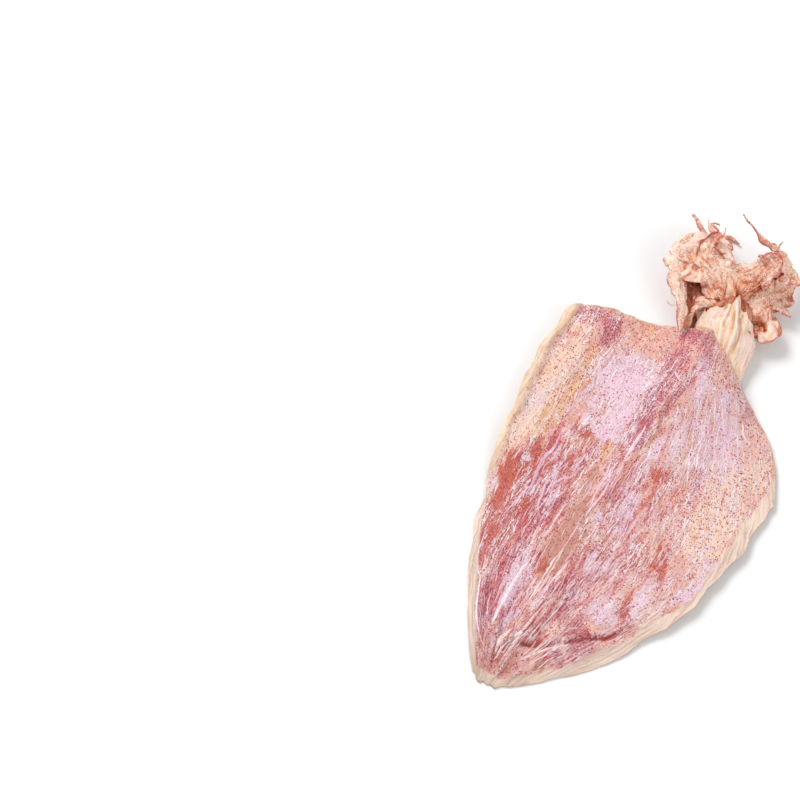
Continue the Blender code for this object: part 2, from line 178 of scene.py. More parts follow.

# Colour patches on the mantle's skin, in millimetres from the tail's tip:
# x, y, half width, half length, tilt in degrees clockwise, and strength.
PATCHES = {
    "bloom": (
        (8, 84, 28, 80, 0, 0.27), (26, 132, 16, 28, -20, 0.56), (40, 100, 12, 34, 0, 0.46),
        (-20, 140, 13, 12, 0, 1.05), (-15, 126, 8, 13, 0, 0.90), (-27, 128, 7, 10, 0, 0.62),
        (29, 142, 6, 4, -40, 0.85), (20, 152, 9, 5, -45, 0.55), (-20, 117, 16, 4, 0, 0.75),
        (11, 126, 6, 16, -12, 0.62), (7, 153, 5, 12, -10, 0.70), (-26, 92, 3.5, 14, 0, 0.46),
        (-20, 76, 3.5, 10, 0, 0.40), (-6, 30, 4, 9, 0, 0.66), (-28, 50, 5, 6, 0, 0.45),
        (-12, 43, 4.5, 15, 0, 0.95), (-6, 96, 8, 9, 0, 0.56), (3, 121, 8, 8, 0, 0.62),
        (9, 94, 4, 10, 0, 0.60), (4, 82, 14, 3, 0, 0.60), (11, 70, 9, 10, 0, 0.52),
        (24, 49, 7, 6, 30, 0.85), (33, 62, 5, 12, -10, 0.66), (-33, 36, 4, 10, -35, 0.40),
        (-46, 113, 5, 9, 0, 0.58), (47, 76, 4, 20, 12, 0.62), (-43, 70, 3, 9, -10, 0.70),
        (8, 20, 4, 2, 50, 0.60), (22, 120, 3, 9, -20, 0.60), (-38, 89, 2, 3, 0, 0.85),
    ),
    "red": (
        (-8, 68, 30, 62, 0, 0.50), (-37, 80, 5, 16, 0, 1.25), (-28, 76, 9, 24, 0, 0.85),
        (-34, 72, 5, 20, -4, 1.15), (-36, 91, 3.5, 9, 0, 0.85), (-31, 54, 6, 15, -10, 1.25),
        (-24, 92, 6, 14, 0, 0.62), (-23, 66, 8, 12, 0, 0.68), (-24, 111, 3.5, 3.5, 0, 1.15),
        (-9, 52, 5, 6, 0, 1.20), (-18, 47, 5, 11, 0, 1.05), (14, 110, 6, 5, 0, 0.75),
        (16, 97, 4, 9, -10, 0.66), (25, 77, 7, 9, -15, 0.72), (30, 55, 7, 5, 30, 0.60),
        (-21, 28, 4, 12, -36, 1.10), (23, 33, 13, 2.2, 55, 1.15), (-3, 12, 3, 5, 0, 1.05),
        (9, 24, 9, 1.8, 55, 1.20), (3, 96, 9, 8, 0, 0.42), (-12, 83, 4, 8, 0, 0.45),
        (38, 116, 4, 8, 0, 0.45), (-18, 40, 5, 12, -20, 0.60), (2, 32, 2, 8, 6, 0.62),
    ),
    "magenta": (
        (-2, 58, 30, 56, 0, 0.46), (-2, 174, 8, 5, 0, 0.95), (-6, 161, 5, 9, 0, 0.70),
        (5, 165, 5, 8, -30, 0.58), (-5.6, 136, 3.9, 28, 0, 1.25), (1.2, 142, 1.8, 19, 0, 1.05),
        (6, 150, 4, 9, 0, 0.25), (-36, 157, 3.5, 9, 0, 0.90), (-45, 160, 8, 5, 0, 0.55),
        (-17, 28, 5, 10, -25, 1.00), (4, 50, 5, 10, 0, 0.70), (-20, 84, 5, 14, 0, 0.55),
        (22, 30, 9, 5, 55, 0.80), (-18, 50, 5, 8, 0, 0.60), (17, 20, 6, 3, 55, 0.72),
        (30, 157, 6, 4, -50, 0.50), (-18, 52, 4, 8, 0, 0.60), (22, 124, 8, 16, -20, 0.40),
        (-24, 144, 5, 5, 0, 0.40), (10, 62, 8, 8, 0, 0.42),
    ),
    "amber": (
        (-37, 118, 4.2, 31, 0, 1.15), (-11, 109, 4.2, 4.6, 20, 1.10), (18, 126, 6, 10, -25, 1.15),
        (34, 104, 8, 20, -14, 0.52), (40, 88, 6, 14, 0, 0.36), (-23, 167, 10, 3, 15, 0.45),
        (-44, 86, 4, 12, -10, 0.50), (30, 92, 3, 10, -22, 0.40), (-26, 158, 7, 5, 0, 0.40),
    ),
    "peach": (
        (-46, 115, 6.5, 36, 0, 1.05), (40, 108, 12, 30, -6, 0.95), (45, 134, 6, 16, -12, 0.70),
        (10, 32, 6, 4, 50, 0.90), (-48, 154, 8, 12, 0, 0.62), (-24, 163, 14, 6, 8, 0.50),
        (22, 58, 6, 8, 0, 0.45), (32, 127, 7, 10, -20, 0.70),
    ),
    "window": (
        (-6, 67, 7, 22, 0, 1.30), (-9, 94, 5, 9, 0, 0.70), (4, 76, 5, 6, 0, 0.60), (10, 17, 6, 3, 50, 0.95),
        (24, 84, 4, 8, -15, 0.50), (0.8, 136, 1.8, 15, 0, 0.95), (-4, 34, 2, 12, 0, 0.45),
        (-6, 112, 5, 4, 0, 0.45),
    ),
    "specks": (
        (-36, 158, 6, 10, 0, 1.0), (45, 142, 3.5, 6, -20, 1.3), (-2, 174, 9, 5, 0, 1.3),
        (-46, 158, 8, 8, 0, 0.8), (33, 108, 14, 26, 0, 0.55), (-39, 136, 5, 16, 0, 0.70),
        (-24, 111, 3, 3, 0, 1.0), (-5, 145, 3, 14, 0, 0.60), (22, 160, 12, 5, -50, 0.65),
        (-25, 162, 10, 5, 0, 0.50),
    ),
}
# Creases in the skin: depth and half width in millimetres, then the points that each runs through.
CREASES = (
    (1.0, 0.9, ((-3.5, 9), (-1.8, 19.7), (0.6, 24.7), (2.0, 30.2), (1.8, 36))),
    (1.6, 1.0, ((-3.2, 9), (2.3, 20.3), (11.8, 25.9), (21.1, 34.2), (29.1, 40.3), (39.1, 55.2))),
    (0.7, 0.9, ((-8, 8), (-11.7, 16), (-19, 30), (-24, 46))),
    (0.6, 0.8, ((-6, 10), (-8, 24), (-11, 44))),
    (0.5, 1.0, ((14, 112), (18.2, 102), (30.8, 79.6), (41, 61.2))),
    (0.6, 1.3, ((-0.5, 174), (-3.8, 152.5), (-5.2, 131), (-5.8, 112))),
    (0.5, 1.3, ((2.5, 170), (3.1, 160.1), (1.9, 146.3), (0.8, 126))),
)
# Narrow raised lines, written the same way.
WELTS = (
    (0.7, 0.8, ((-1.5, 160), (-2.2, 146), (-3.4, 128), (-4.6, 112), (-4.2, 90), (-3.6, 40), (-2.8, 10))),
    (0.5, 0.7, ((-34, 118), (-33, 100), (-30, 84), (-27, 66))),
    (0.5, 0.8, ((-18, 92), (-17, 76), (-14, 58), (-10, 36))),
    (0.6, 0.8, ((9, 110), (8, 88), (5, 66), (1, 44), (-2, 20))),
)

# Shreds of pale film that lie on the skin: how creamy, how wide, then the points that each runs through.
SHREDS = (
    (0.0, 1.8, ((-30.8, 107.3), (-29.5, 99.7), (-30.9, 92.2), (-29.7, 85.7), (-28.3, 80.7), (-29.6, 75.1),
                (-31.5, 63.3))),
    (0.0, 1.1, ((-25.4, 87.4), (-23.9, 82.2), (-22.3, 75), (-20.6, 71.4))),
    (0.0, 1.2, ((-18.1, 91.9), (-20.3, 89.3), (-22, 85.3))),
    (0.0, 0.8, ((-18.8, 85), (-18.6, 80.3), (-19, 74.8))),
    (0.2, 0.9, ((-13.1, 81.5), (-13.2, 73.7), (-12.9, 67), (-13.1, 62.2))),
    (0.1, 1.5, ((-2.9, 126.4), (-3.1, 119.4), (-3.2, 108.6))),
    (0.1, 1.3, ((-3.5, 98), (-2.5, 92.6), (-3.8, 82.6), (-3.6, 78.7))),
    (0.2, 0.9, ((-3.8, 76.3), (-4.3, 73.6), (-4, 66.8))),
    (0.3, 0.7, ((-9.2, 99.9), (-9.1, 95.2), (-8.3, 90.4), (-8.4, 85))),
    (0.0, 0.8, ((-5.4, 153.8), (-0.3, 149))),
    (0.2, 0.9, ((17, 145.1), (21.6, 140.7), (24.4, 136.4))),
    (0.2, 0.9, ((16.3, 153.2), (19.1, 148.9), (22.4, 144.8), (25.2, 140.5))),
    (0.1, 1.6, ((14.7, 140), (17.9, 135.9), (19.1, 131.8))),
    (0.1, 1.0, ((19.3, 138), (23, 133.1), (25.9, 128.9))),
    (0.2, 1.1, ((23.2, 135.7), (26.9, 130.8), (31.3, 126.4))),
    (0.2, 1.0, ((24.8, 140.3), (29.4, 134.7), (34, 128.1))),
    (0.2, 0.9, ((17.2, 125.8), (20.2, 120.4), (23.5, 113))),
    (0.3, 0.9, ((28.3, 149.8), (31.8, 144.7), (34.8, 143))),
    (0.1, 1.4, ((20.3, 127.8), (22.9, 121.1))),
    (0.5, 2.8, ((-4, 63.3), (-4.2, 57.5), (-3.9, 49.7), (-3.9, 42.6), (-4.5, 37.5))),
    (0.3, 1.2, ((0.5, 60.5), (0.1, 53.9), (-0.8, 46.9))),
    (0.2, 1.8, ((-12.7, 53.7), (-13.3, 46.2), (-13, 36), (-12.1, 26.3), (-11, 20.8))),
    (0.6, 1.7, ((1.5, 35.8), (0.7, 27.5), (-1.5, 20.6), (-3.1, 15), (-3.1, 9.6))),
    (0.5, 1.8, ((-3.9, 24.5), (-5.7, 18), (-4.2, 12))),
    (0.1, 1.0, ((-31.4, 40.3), (-25.7, 36.7), (-22.2, 28.6), (-18.9, 22.1), (-13.7, 16), (-9.5, 12.5))),
    (0.5, 1.2, ((18.3, 30.1), (12.3, 24.7), (8, 18.9), (4.2, 13.4))),
    (0.9, 1.6, ((-43.5, 118), (-43, 110), (-44, 102), (-43, 95))),
)
# Places strewn with thinner shreds that follow the fibres: how creamy, x, y, half width and half length of
# the place, how many, and their length and width.
STREWN = (
    (0.2, 23, 128, 12, 20, 110, 9, 0.42),
    (0.0, -23, 84, 10, 22, 80, 6, 0.46),
    (0.1, 2, 94, 12, 20, 80, 7, 0.42),
    (0.2, -10, 36, 13, 18, 80, 11, 0.42),
    (0.5, 28, 78, 14, 24, 90, 6, 0.40),
    (0.0, -20, 138, 12, 12, 40, 4, 0.42),
    (0.8, -42, 116, 5, 30, 30, 8, 0.45),
    (0.4, 8, 18, 14, 8, 40, 9, 0.42),
    (0.3, 13, 60, 9, 16, 40, 7, 0.42),
)
SHRED_STEP = 0.7 * MM
RAY_HEIGHT = 80 * MM
# A shred's cross-section: place across it from -1 to 1, and height in millimetres above the skin.
SHRED_LANES = ((-1.0, -0.10), (-0.6, 0.10), (0.5, 0.13), (1.0, -0.10))
# A sucker's profile: distance from its axis and height as shares of its radius, and how pale it is there.
CUP_PROFILE = ((1.0, -0.25, 0.0), (1.08, 0.30, 0.4), (0.92, 0.55, 1.0), (0.62, 0.50, 0.6), (0.34, 0.12, 0.0))
CUP_SIDES = 8

# The photograph's camera: where it looks, from which side, and how far its lens reaches.
CAMERA_TARGET = np.array((-93.8, 85.9, 0)) * MM
CAMERA_DISTANCE = 0.9
CAMERA_AZIMUTH = radians(32.353)
CAMERA_ELEVATION = radians(62)
LENS_MM = 99.94

# The floor and the light.
FLOOR_REACH = 3.0
FLOOR_TONE = 0.86
SURROUND_STRENGTH = 0.55
KEY_POWER = 13.8
FILL_POWER = 5

# How finely the mantle is drawn, the labels of the arms' points, and the primes that mix up the noise.
MANTLE_ROWS = 236
MANTLE_COLUMNS = 204
ARM_LABELS = ("share", "edge", "tone", "deep", "off", "way")
GRID_PRIMES = (374761393, 668265263, 1440662683, 974711)


def ramp(value):
    """0 below 0, 1 above 1, and smooth between."""
    value = np.clip(value, 0.0, 1.0)
    return value * value * (3 - 2 * value)


def bump(value, centre, spread):
    """1 at the centre, falling off smoothly to both sides."""
    return np.exp(-(((value - centre) / spread) ** 2))


def corner(i, j, k, seed):
    """A repeatable number from -1 to 1 for each corner of the noise's grid."""
    mixed = sum(value * prime for value, prime in zip((i, j, k, seed), GRID_PRIMES)) & 0x7FFFFFFF
    mixed = ((mixed ^ (mixed >> 13)) * 1274126177) & 0x7FFFFFFF
    return ((mixed ^ (mixed >> 16)) & 0xFFFF) / 32767.5 - 1


def noise(x, y, z=0.0, seed=0):
    """Smooth noise from about -1 to 1, with features about one unit wide."""
    axes = np.broadcast_arrays(x, y, z)
    whole = [np.floor(axis).astype(np.int64) for axis in axes]
    share = [ramp(axis - low) for axis, low in zip(axes, whole)]
    total = 0.0
    for number in range(8):
        step = (number & 1, number >> 1 & 1, number >> 2)
        weight = 1.0
        for near, part in zip(step, share):
            weight = weight * (part if near else 1 - part)
        total = total + weight * corner(*[low + near for low, near in zip(whole, step)], seed)
    return total


def layers(x, y, z=0.0, seed=0, count=3):
    """Noise with count layers, each half as large and twice as fine as the one before."""
    return sum(noise(x * 2**n, y * 2**n, z * 2**n, seed + n) / 2**n for n in range(count))


def ridges(x, y, z=0.0, seed=0):
    """Noise with sharp crests, from 0 to 1."""
    return 1 - np.abs(noise(x, y, z, seed))


def distance_to_line(x, y, line):
    """Distance to a line whose points are in millimetres, and 1 at its middle down to 0 at its ends."""
    line = np.array(line) * MM
    lengths = np.linalg.norm(np.diff(line, axis=0), axis=1)
    starts = np.concatenate(([0], np.cumsum(lengths)))
    best = np.full(x.shape, np.inf)
    where = np.zeros(x.shape)
    for a, b, start, length in zip(line, line[1:], starts, lengths):
        way = (b - a) / length
        along = np.clip((x - a[0]) * way[0] + (y - a[1]) * way[1], 0, length)
        away = np.hypot(x - a[0] - along * way[0], y - a[1] - along * way[1])
        nearer = away < best
        best = np.where(nearer, away, best)
        where = np.where(nearer, (start + along) / starts[-1], where)
    return best, ramp(np.minimum(where, 1 - where) / 0.25)


def wander(x, y, coarse, fine, seed):
    """How far noise with coarse and fine features, given in millimetres, moves each point."""
    moved = coarse * noise(x / (9 * MM), y / (9 * MM), seed=seed)
    return (moved + fine * noise(x / (3 * MM), y / (4 * MM), seed=seed + 1)) * MM


def patch(kind, x, y):
    """How strongly each point shows one kind of colour patch, from 0. The patches have ragged outlines."""
    x = x + wander(x, y, 2.2, 0.9, 61)
    y = y + wander(x, y, 3.0, 1.6, 63)
    total = np.zeros(x.shape)
    for cx, cy, wide, long, tilt, strength in PATCHES[kind]:
        turn = radians(tilt)
        dx, dy = x - cx * MM, y - cy * MM
        side = (dx * cos(turn) - dy * sin(turn)) / (wide * MM)
        fore = (dx * sin(turn) + dy * cos(turn)) / (long * MM)
        total = np.maximum(total, strength * np.exp(-(np.hypot(side, fore) ** 2.6)))
    return total


def fibre_spread(side, y):
    """How far the skin's fibres stand apart, as a share of their greatest distance.

    They fan out from the tail, run straight on the left, where side is below 0, and close in again towards
    the front point on the right.
    """
    far = np.maximum(MANTLE_LENGTH + 8 * MM - y, 0) / (101 * MM)
    right = np.hypot(np.maximum(y + 2 * MM, 0) / (87 * MM) * far**1.2, 0.28)
    left = np.maximum(1 - np.exp(-((np.maximum(y + 3 * MM, 0) / (30 * MM)) ** 1.2)), 0.12)
    return np.where(side < 0, left, right)


def fibre_lines(x, y):
    """Coordinates across and along the skin's fibres, in millimetres where the mantle is widest."""
    side = x - PEN_X
    return side / fibre_spread(side, y) / MM, y / MM


def by_side(across, values):
    """The left value where across is below 0, and the right one elsewhere."""
    return np.where(across < 0, values["left"], values["right"])


def half_width(across, y):
    """Distance from the middle line to the mantle's side edge, at y from the tail."""
    share = np.clip(y / by_side(across, FULLEST_AT), 0, 1)
    body = (1 - (1 - share) ** by_side(across, SIDE_BULGE)) ** by_side(across, TAIL_ROUNDNESS)
    return by_side(across, TAIL_HALF_WIDTH) * (1 - share) + by_side(across, HALF_WIDTH) * body


def margin(across):
    """y of the mantle's open front edge, pointed in the middle, at across from -1 to 1."""
    share = np.abs(across)
    corner_cut = by_side(across, MARGIN_CORNER) * share ** by_side(across, MARGIN_CORNER_POWER)
    slope = by_side(across, MARGIN_SLOPE) * share ** by_side(across, MARGIN_POWER)
    return MANTLE_LENGTH - slope - corner_cut - POINT_WEAR * bump(across, 0, 0.1)


def mantle_plan(along, across):
    """(x, y) of the points at along from 0 at the tail to 1, and across from -1 to 1, with worn edges."""
    y = along * margin(across)
    phase = by_side(across, RIPPLE_PHASE)
    ripple = 1 + 0.012 * np.sin(23 * along + phase) + 0.008 * np.sin(51 * along + 2 * phase)
    x = across * half_width(across, y) * ripple
    side_edge = ramp((np.abs(across) - 0.9) / 0.1)
    x = x + np.sign(across) * side_edge * EDGE_NICKS * layers(y / (8 * MM), np.sign(across) * 3.0, seed=5)
    front_edge = ramp((along - 0.97) / 0.03)
    y = y + front_edge * 0.6 * EDGE_NICKS * layers(x / (3 * MM), 9.0, seed=6)
    tail_edge = ramp(1 - along / 0.05)
    y = y + tail_edge * 1.6 * EDGE_NICKS * noise(x / (0.8 * MM), 4.0, seed=7)
    return x, y


def mantle_floor(x, y, across):
    """Height of the mantle's underside. It lies on the surface below, where this is 0."""
    along = y / MANTLE_LENGTH
    from_neck = np.abs((x - NECK_ROOT[0]) * NECK_WAY[1] - (y - NECK_ROOT[1]) * NECK_WAY[0])
    neck = NECK_LIFT * ramp((along - 0.60) / 0.30) * bump(from_neck, 0, DRAPE_SPREAD)
    left = LEFT_LIFT * ramp((-across - 0.45) / 0.55) * ramp((along - 0.2) / 0.6)
    right = RIGHT_LIFT * ramp((across - 0.6) / 0.4) * bump(along, 0.55, 0.22)
    waves = WAVE_HEIGHT * np.sin(3.1 * across + 4.5 * along) * np.sin(9.5 * along + 1.3 * across)
    return np.maximum(neck + left + right + waves * ramp(along / 0.3), 0.0)


def hem_of(across, along):
    """1 on the rolled left edge, 0 elsewhere."""
    return ramp((-across - 1 + HEM_SHARE) / HEM_SHARE * 1.6) * ramp((along - 0.3) / 0.35)


def mantle_relief(x, y, across):
    """Height of the outer skin above the underside: the solid's relief with fibres, creases and lumps."""
    along = y / MANTLE_LENGTH
    inner = ramp((1 - np.abs(across)) / 0.3) * ramp(along / 0.08)
    skin = RIM_THICKNESS + (THICKNESS - RIM_THICKNESS) * inner
    hem = hem_of(across, along)
    pen = bump(x, PEN_X, 3.6 * MM) * ramp((along - 0.12) / 0.2)
    fan = np.sin(13 * across + 0.8) * (1 - across * across)
    folds = bump(y, 0.35 * TAIL_FOLD_REACH, 0.5 * TAIL_FOLD_REACH) * fan * ramp(along / 0.06)
    height = skin + HEM_HEIGHT * hem + PEN_RIDGE * pen + TAIL_FOLD_HEIGHT * np.maximum(folds, -0.5)
    calm = 1 - 0.8 * hem
    edge = ramp((1 - np.abs(across)) / 0.06)
    line, way = fibre_lines(x, y)
    drift = 0.7 * layers(line / 18, way / 35, seed=11)
    fibres = ridges(line / 2.6 + drift, way / 38, seed=12) ** 2
    fine = ridges(line / 1.15 + 2 * drift, way / 16, seed=14) ** 2
    strong = 0.35 + 0.65 * ramp(0.5 + layers(line / 16, way / 45, seed=16))
    height += (fibres * FIBRE_DEPTH + fine * FINE_FIBRE_DEPTH) * strong * calm * edge
    height += LUMP_DEPTH * layers(x / (13 * MM), y / (17 * MM), seed=18) * inner * calm
    pucker = ridges(line / 7.5 + drift, way / 70, seed=20) ** 3
    height += PUCKER_HEIGHT * pucker * bump(y, 24 * MM, 26 * MM) * ramp(along / 0.05) * inner
    for sign, lines in ((-1, CREASES), (1, WELTS)):
        for depth, width, line in lines:
            away, middle = distance_to_line(x, y, line)
            height += sign * depth * MM * middle * np.exp(-((away / (width * MM)) ** 1.6))
    return np.maximum(height, 0.5 * MM)


def mark(mesh, label, values):
    """Keeps one number for each point of a mesh, which its material reads."""
    mesh.attributes.new(label, "FLOAT", "POINT").data.foreach_set("value", np.asarray(values, np.float32))


def mesh_object(name, points, faces, labels):
    """A mesh object in the frame's coordinates, shaded smooth, with its labels on its points."""
    mesh = bpy.data.meshes.new(name)
    mesh.from_pydata(np.asarray(points) - ORIGIN, [], faces)
    for label, values in labels.items():
        mark(mesh, label, values)
    mesh.shade_smooth()
    made = bpy.data.objects.new(name, mesh)
    bpy.context.scene.collection.objects.link(made)
    return made


def sheet_faces(rows, columns):
    """Quads of a closed sheet: a top grid, a bottom grid of the same size, and the rim between them."""
    width, under = columns + 1, (rows + 1) * (columns + 1)
    faces = []
    for row in range(rows):
        for a in range(row * width, row * width + columns):
            faces.append((a, a + 1, a + width + 1, a + width))
            faces.append((under + a + width, under + a + width + 1, under + a + 1, under + a))
    last = rows * width
    rim = list(range(width)) + list(range(2 * width - 1, last + width, width))
    rim += list(range(last + width - 2, last - 1, -1)) + list(range(last - width, 0, -width))
    for i, j in zip(rim, rim[1:] + rim[:1]):
        faces.append((j, i, under + i, under + j))
    return faces


def mantle():
    """The mantle: its skin side, its inner face and its worn rim. Its columns crowd towards the sides."""
    rows = (np.arange(MANTLE_ROWS + 1) / MANTLE_ROWS) ** 1.1
    turn = 0.9 * pi / 2
    columns = np.sin(turn * np.linspace(-1, 1, MANTLE_COLUMNS + 1)) / sin(turn)
    along, across = (grid.ravel() for grid in np.meshgrid(rows, columns, indexing="ij"))
    x, y = mantle_plan(along, across)
    low = mantle_floor(x, y, across)
    high = low + mantle_relief(x, y, across)
    line, way = fibre_lines(x, y)
    muscle = 0.12 * MM * layers(line / 3, way / 60, seed=31) * ramp((1 - np.abs(across)) / 0.1)
    rib = 0.8 * MM * bump(x, PEN_X, 2.2 * MM) * ramp((along - 0.05) / 0.1) * ramp(low / (2 * MM))
    low = np.maximum(low + muscle - rib, 0.0)
    top = np.stack((x, y, high), axis=1)
    bottom = np.stack((x, y, np.minimum(low, high - 0.4 * MM)), axis=1)
    labels = {kind: patch(kind, x, y) for kind in PATCHES}
    labels["cream"] = cream_edge(y, across)
    labels["hem"] = hem_of(across, along)
    labels["inner_face"] = 0.75 * ramp((along - 0.994) / 0.006)
    labels["crease"] = crease_lines(x, y)
    # The crease lines also get more of the red film.
    labels["red"] += 0.7 * labels["crease"]
    both = {label: np.concatenate((values, 0 * values)) for label, values in labels.items()}
    both["inner_face"][len(x):] = 1.0
    both["fibre_across"], both["fibre_along"] = np.tile(line, 2), np.tile(way, 2)
    faces = sheet_faces(MANTLE_ROWS, MANTLE_COLUMNS)
    return mesh_object("mantle", np.concatenate((top, bottom)), faces, both)


def strewn_shreds(random):
    """The lines of the thinner shreds, each with its creaminess and its width."""
    for cream, x, y, wide, long, count, length, width in STREWN:
        for _ in range(count):
            start = np.array((x + 0.6 * wide * random.normal(), y + 0.6 * long * random.normal())) * MM
            reach = length * MM * random.uniform(0.3, 1.4)
            lean = random.normal() * 0.10
            side = start[0] - PEN_X
            line = side / fibre_spread(side, start[1])
            ys = start[1] + np.linspace(0, reach, 6)
            xs = PEN_X + line * fibre_spread(side, ys) + lean * (ys - ys[0])
            xs = xs + 0.16 * MM * random.normal(size=6)
            across = xs / half_width(np.sign(xs), ys)
            inside = abs(across).max() < 0.93 and ys[0] > 6 * MM
            if inside and (ys < margin(across) - 2 * MM).all():
                yield cream, width * random.uniform(0.6, 1.5), np.stack((xs, ys), axis=1) / MM


def smooth_line(line, number):
    """Even steps along a line given in millimetres, with its corners smoothed and a slight wander."""
    line = np.array(line) * MM
    lengths = np.concatenate(([0], np.cumsum(np.linalg.norm(np.diff(line, axis=0), axis=1))))
    steps = max(4, int(lengths[-1] / SHRED_STEP))
    place = np.linspace(0, 1, steps + 1)
    middle = np.stack([np.interp(place * lengths[-1], lengths, values) for values in line.T], axis=1)
    for _ in range(3):
        middle[1:-1] = (middle[:-2] + 2 * middle[1:-1] + middle[2:]) / 4
    moved = [noise(place * steps / 4, number, axis, 201) for axis in (0.5, 3.5)]
    return middle + 0.18 * MM * np.stack(moved, axis=1)


def lane_faces(first, steps):
    """Faces of a closed strip whose lanes of points follow each other from the point first."""
    lanes = len(SHRED_LANES)
    faces = []
    for lane in range(lanes):
        left, right = first + lane * (steps + 1), first + (lane + 1) % lanes * (steps + 1)
        faces += [(left + i, right + i, right + i + 1, left + i + 1) for i in range(steps)]
    for end in (0, steps):
        ring = [first + lane * (steps + 1) + end for lane in range(lanes)]
        faces.append(tuple(ring if end else ring[::-1]))
    return faces


def shreds(below):
    """Fibres and shreds of film on the mantle: flat strips with ragged sides that thin out at both ends."""
    tree = tree_of([below])
    random = np.random.default_rng(8)
    points, faces, labels = [], [], {"tone": [], "cream": []}
    for number, (cream, width, line) in enumerate([*SHREDS, *strewn_shreds(random)]):
        middle = smooth_line(line, number)
        steps = len(middle) - 1
        place = np.linspace(0, 1, steps + 1)
        way = np.gradient(middle, axis=0)
        way /= np.linalg.norm(way, axis=1, keepdims=True)
        across = np.stack((way[:, 1], -way[:, 0]), axis=1)
        taper = np.minimum(1.0, 4.0 * place * (1 - place) + 0.08) ** 0.8
        faces += lane_faces(len(points), steps)
        for share, height in SHRED_LANES:
            ragged = 1 + 0.45 * noise(place * steps / 2.2, number, share, 203)
            edge = middle + across * (width / 2 * MM * taper * ragged * share)[:, None]
            for (x, y), thin in zip(edge, taper):
                above = Vector((x - ORIGIN[0], y - ORIGIN[1], RAY_HEIGHT))
                hit = tree.ray_cast(above, Vector((0, 0, -1)))[0]
                points.append((x, y, (hit.z if hit else 0.0) + height * (0.5 + 0.5 * thin) * MM))
        added = len(points) - len(labels["tone"])
        labels["tone"] += [0.2 + 0.6 * random.uniform()] * added
        labels["cream"] += [cream] * added
    return mesh_object("shreds", points, faces, labels)


def cream_edge(y, across):
    """1 on the bare cream rim of the mantle, 0 on its coloured skin."""
    from_side = (1 - np.abs(across)) * half_width(across, y)
    left = 2.2 + 2.6 * bump(y, 34 * MM, 20 * MM)
    right = 3.4 + 3.2 * bump(y, 38 * MM, 16 * MM) + 3.0 * bump(y, 116 * MM, 24 * MM) * (across > 0)
    wide = np.where(across < 0, left, right) + 1.3 * layers(y / (11 * MM), np.sign(across) * 5, seed=71)
    side = ramp(1.5 - from_side / (wide * MM))
    tail = ramp(1.4 - y / (5 * MM))
    return np.maximum(side, tail)


def crease_lines(x, y):
    """1 in the middle of the nearest deep crease, less in a shallow one, 0 away from them."""
    total = np.zeros(x.shape)
    for depth, width, line in CREASES:
        away, middle = distance_to_line(x, y, line)
        crease_dark = min(1.0, depth) ** 2 * middle * np.exp(-((away / (1.3 * width * MM)) ** 2))
        total = np.maximum(total, crease_dark)
    return total


def facts_of(name):
    """What the table says of an arm or a tentacle, by the names of the columns."""
    return dict(zip(ARM_FACTS, (ARMS | TENTACLES)[name]))


def number_of(name):
    """A number of its own for each arm and tentacle, which seeds its noise."""
    return list(ARMS).index(name) if name in ARMS else 20 + list(TENTACLES).index(name)


def phase_of(name):
    """Where the wobble of an arm or a tentacle starts."""
    return 1.7 * number_of(name) if name in ARMS else 2.3 * (number_of(name) - 20)


def arm_centres(name, rings):
    """Points along an arm, with the directions across its width and through its thickness."""
    fact, phase = facts_of(name), phase_of(name)
    heading, pitch = radians(fact["heading"]), radians(fact["pitch"])
    point = CROWN + np.array((sin(heading) * CROWN_RADIUS[0], cos(heading) * CROWN_RADIUS[1], 0))
    step = fact["length"] * MM / rings
    places, acrosses, throughs = [], [], []
    for ring in range(rings + 1):
        share = ring / rings
        turned = ramp((share - fact["bend"]) / TURN_SPAN + 0.5)
        bearing = heading + radians(fact["swing"]) * turned
        bearing += radians(fact["tip"]) * ramp((share - TIP_TURN_FROM) / (1 - TIP_TURN_FROM))
        bearing += WOBBLE * sin(5 * pi * share + phase) * share
        rise = pitch + radians(fact["curl"]) * turned
        ahead = np.array((sin(bearing) * cos(rise), cos(bearing) * cos(rise), sin(rise)))
        flat = np.array((cos(bearing), -sin(bearing), 0))
        upright = np.cross(flat, ahead)
        roll = radians(fact["roll"])
        places.append(point)
        acrosses.append(flat * cos(roll) + upright * sin(roll))
        throughs.append(upright * cos(roll) - flat * sin(roll))
        point = point + ahead * step
    return np.array(places), np.array(acrosses), np.array(throughs)


def sheet_normals(grid):
    """Unit normals of a grid of points."""
    normal = np.cross(np.gradient(grid, axis=1), np.gradient(grid, axis=0))
    return normal / (np.linalg.norm(normal, axis=2, keepdims=True) + 1e-12)


def crumpled(grid, amount, seed):
    """The grid with its points moved about by noise, as a skin crumples when it dries."""
    x, y, z = np.moveaxis(grid, 2, 0) / MM
    warp = noise(x / 6, y / 6, z / 6, seed)
    moves = []
    for axis in range(3):
        large = noise(x / 7.0 + warp, y / 7.0 - warp, z / 7.0, seed + 5 + axis)
        small = ridges(x / 3.0 + warp, y / 3.0, z / 3.0 - warp, seed + 15 + axis) - 0.6
        moves.append(1.0 * large + 0.28 * small)
    return grid + np.stack(moves, axis=2) * amount * MM


def from_middle(values):
    """Running sum of values across their columns, which go from -1 to 1. It is 0 in the middle column."""
    steps = (values[:, 1:] + values[:, :-1]) / (values.shape[1] - 1)
    total = np.pad(np.cumsum(steps, axis=1), ((0, 0), (1, 0)))
    return total - total[:, values.shape[1] // 2, None]


def sheet(grid, thick, **labels):
    """A thin sheet: a grid of points, its thickness, and a value of each label at each of the points."""
    shape = grid.shape[:2]
    kept = {label: np.broadcast_to(value, shape) for label, value in labels.items()}
    return {"grid": grid, "thick": np.broadcast_to(thick, shape), **kept}


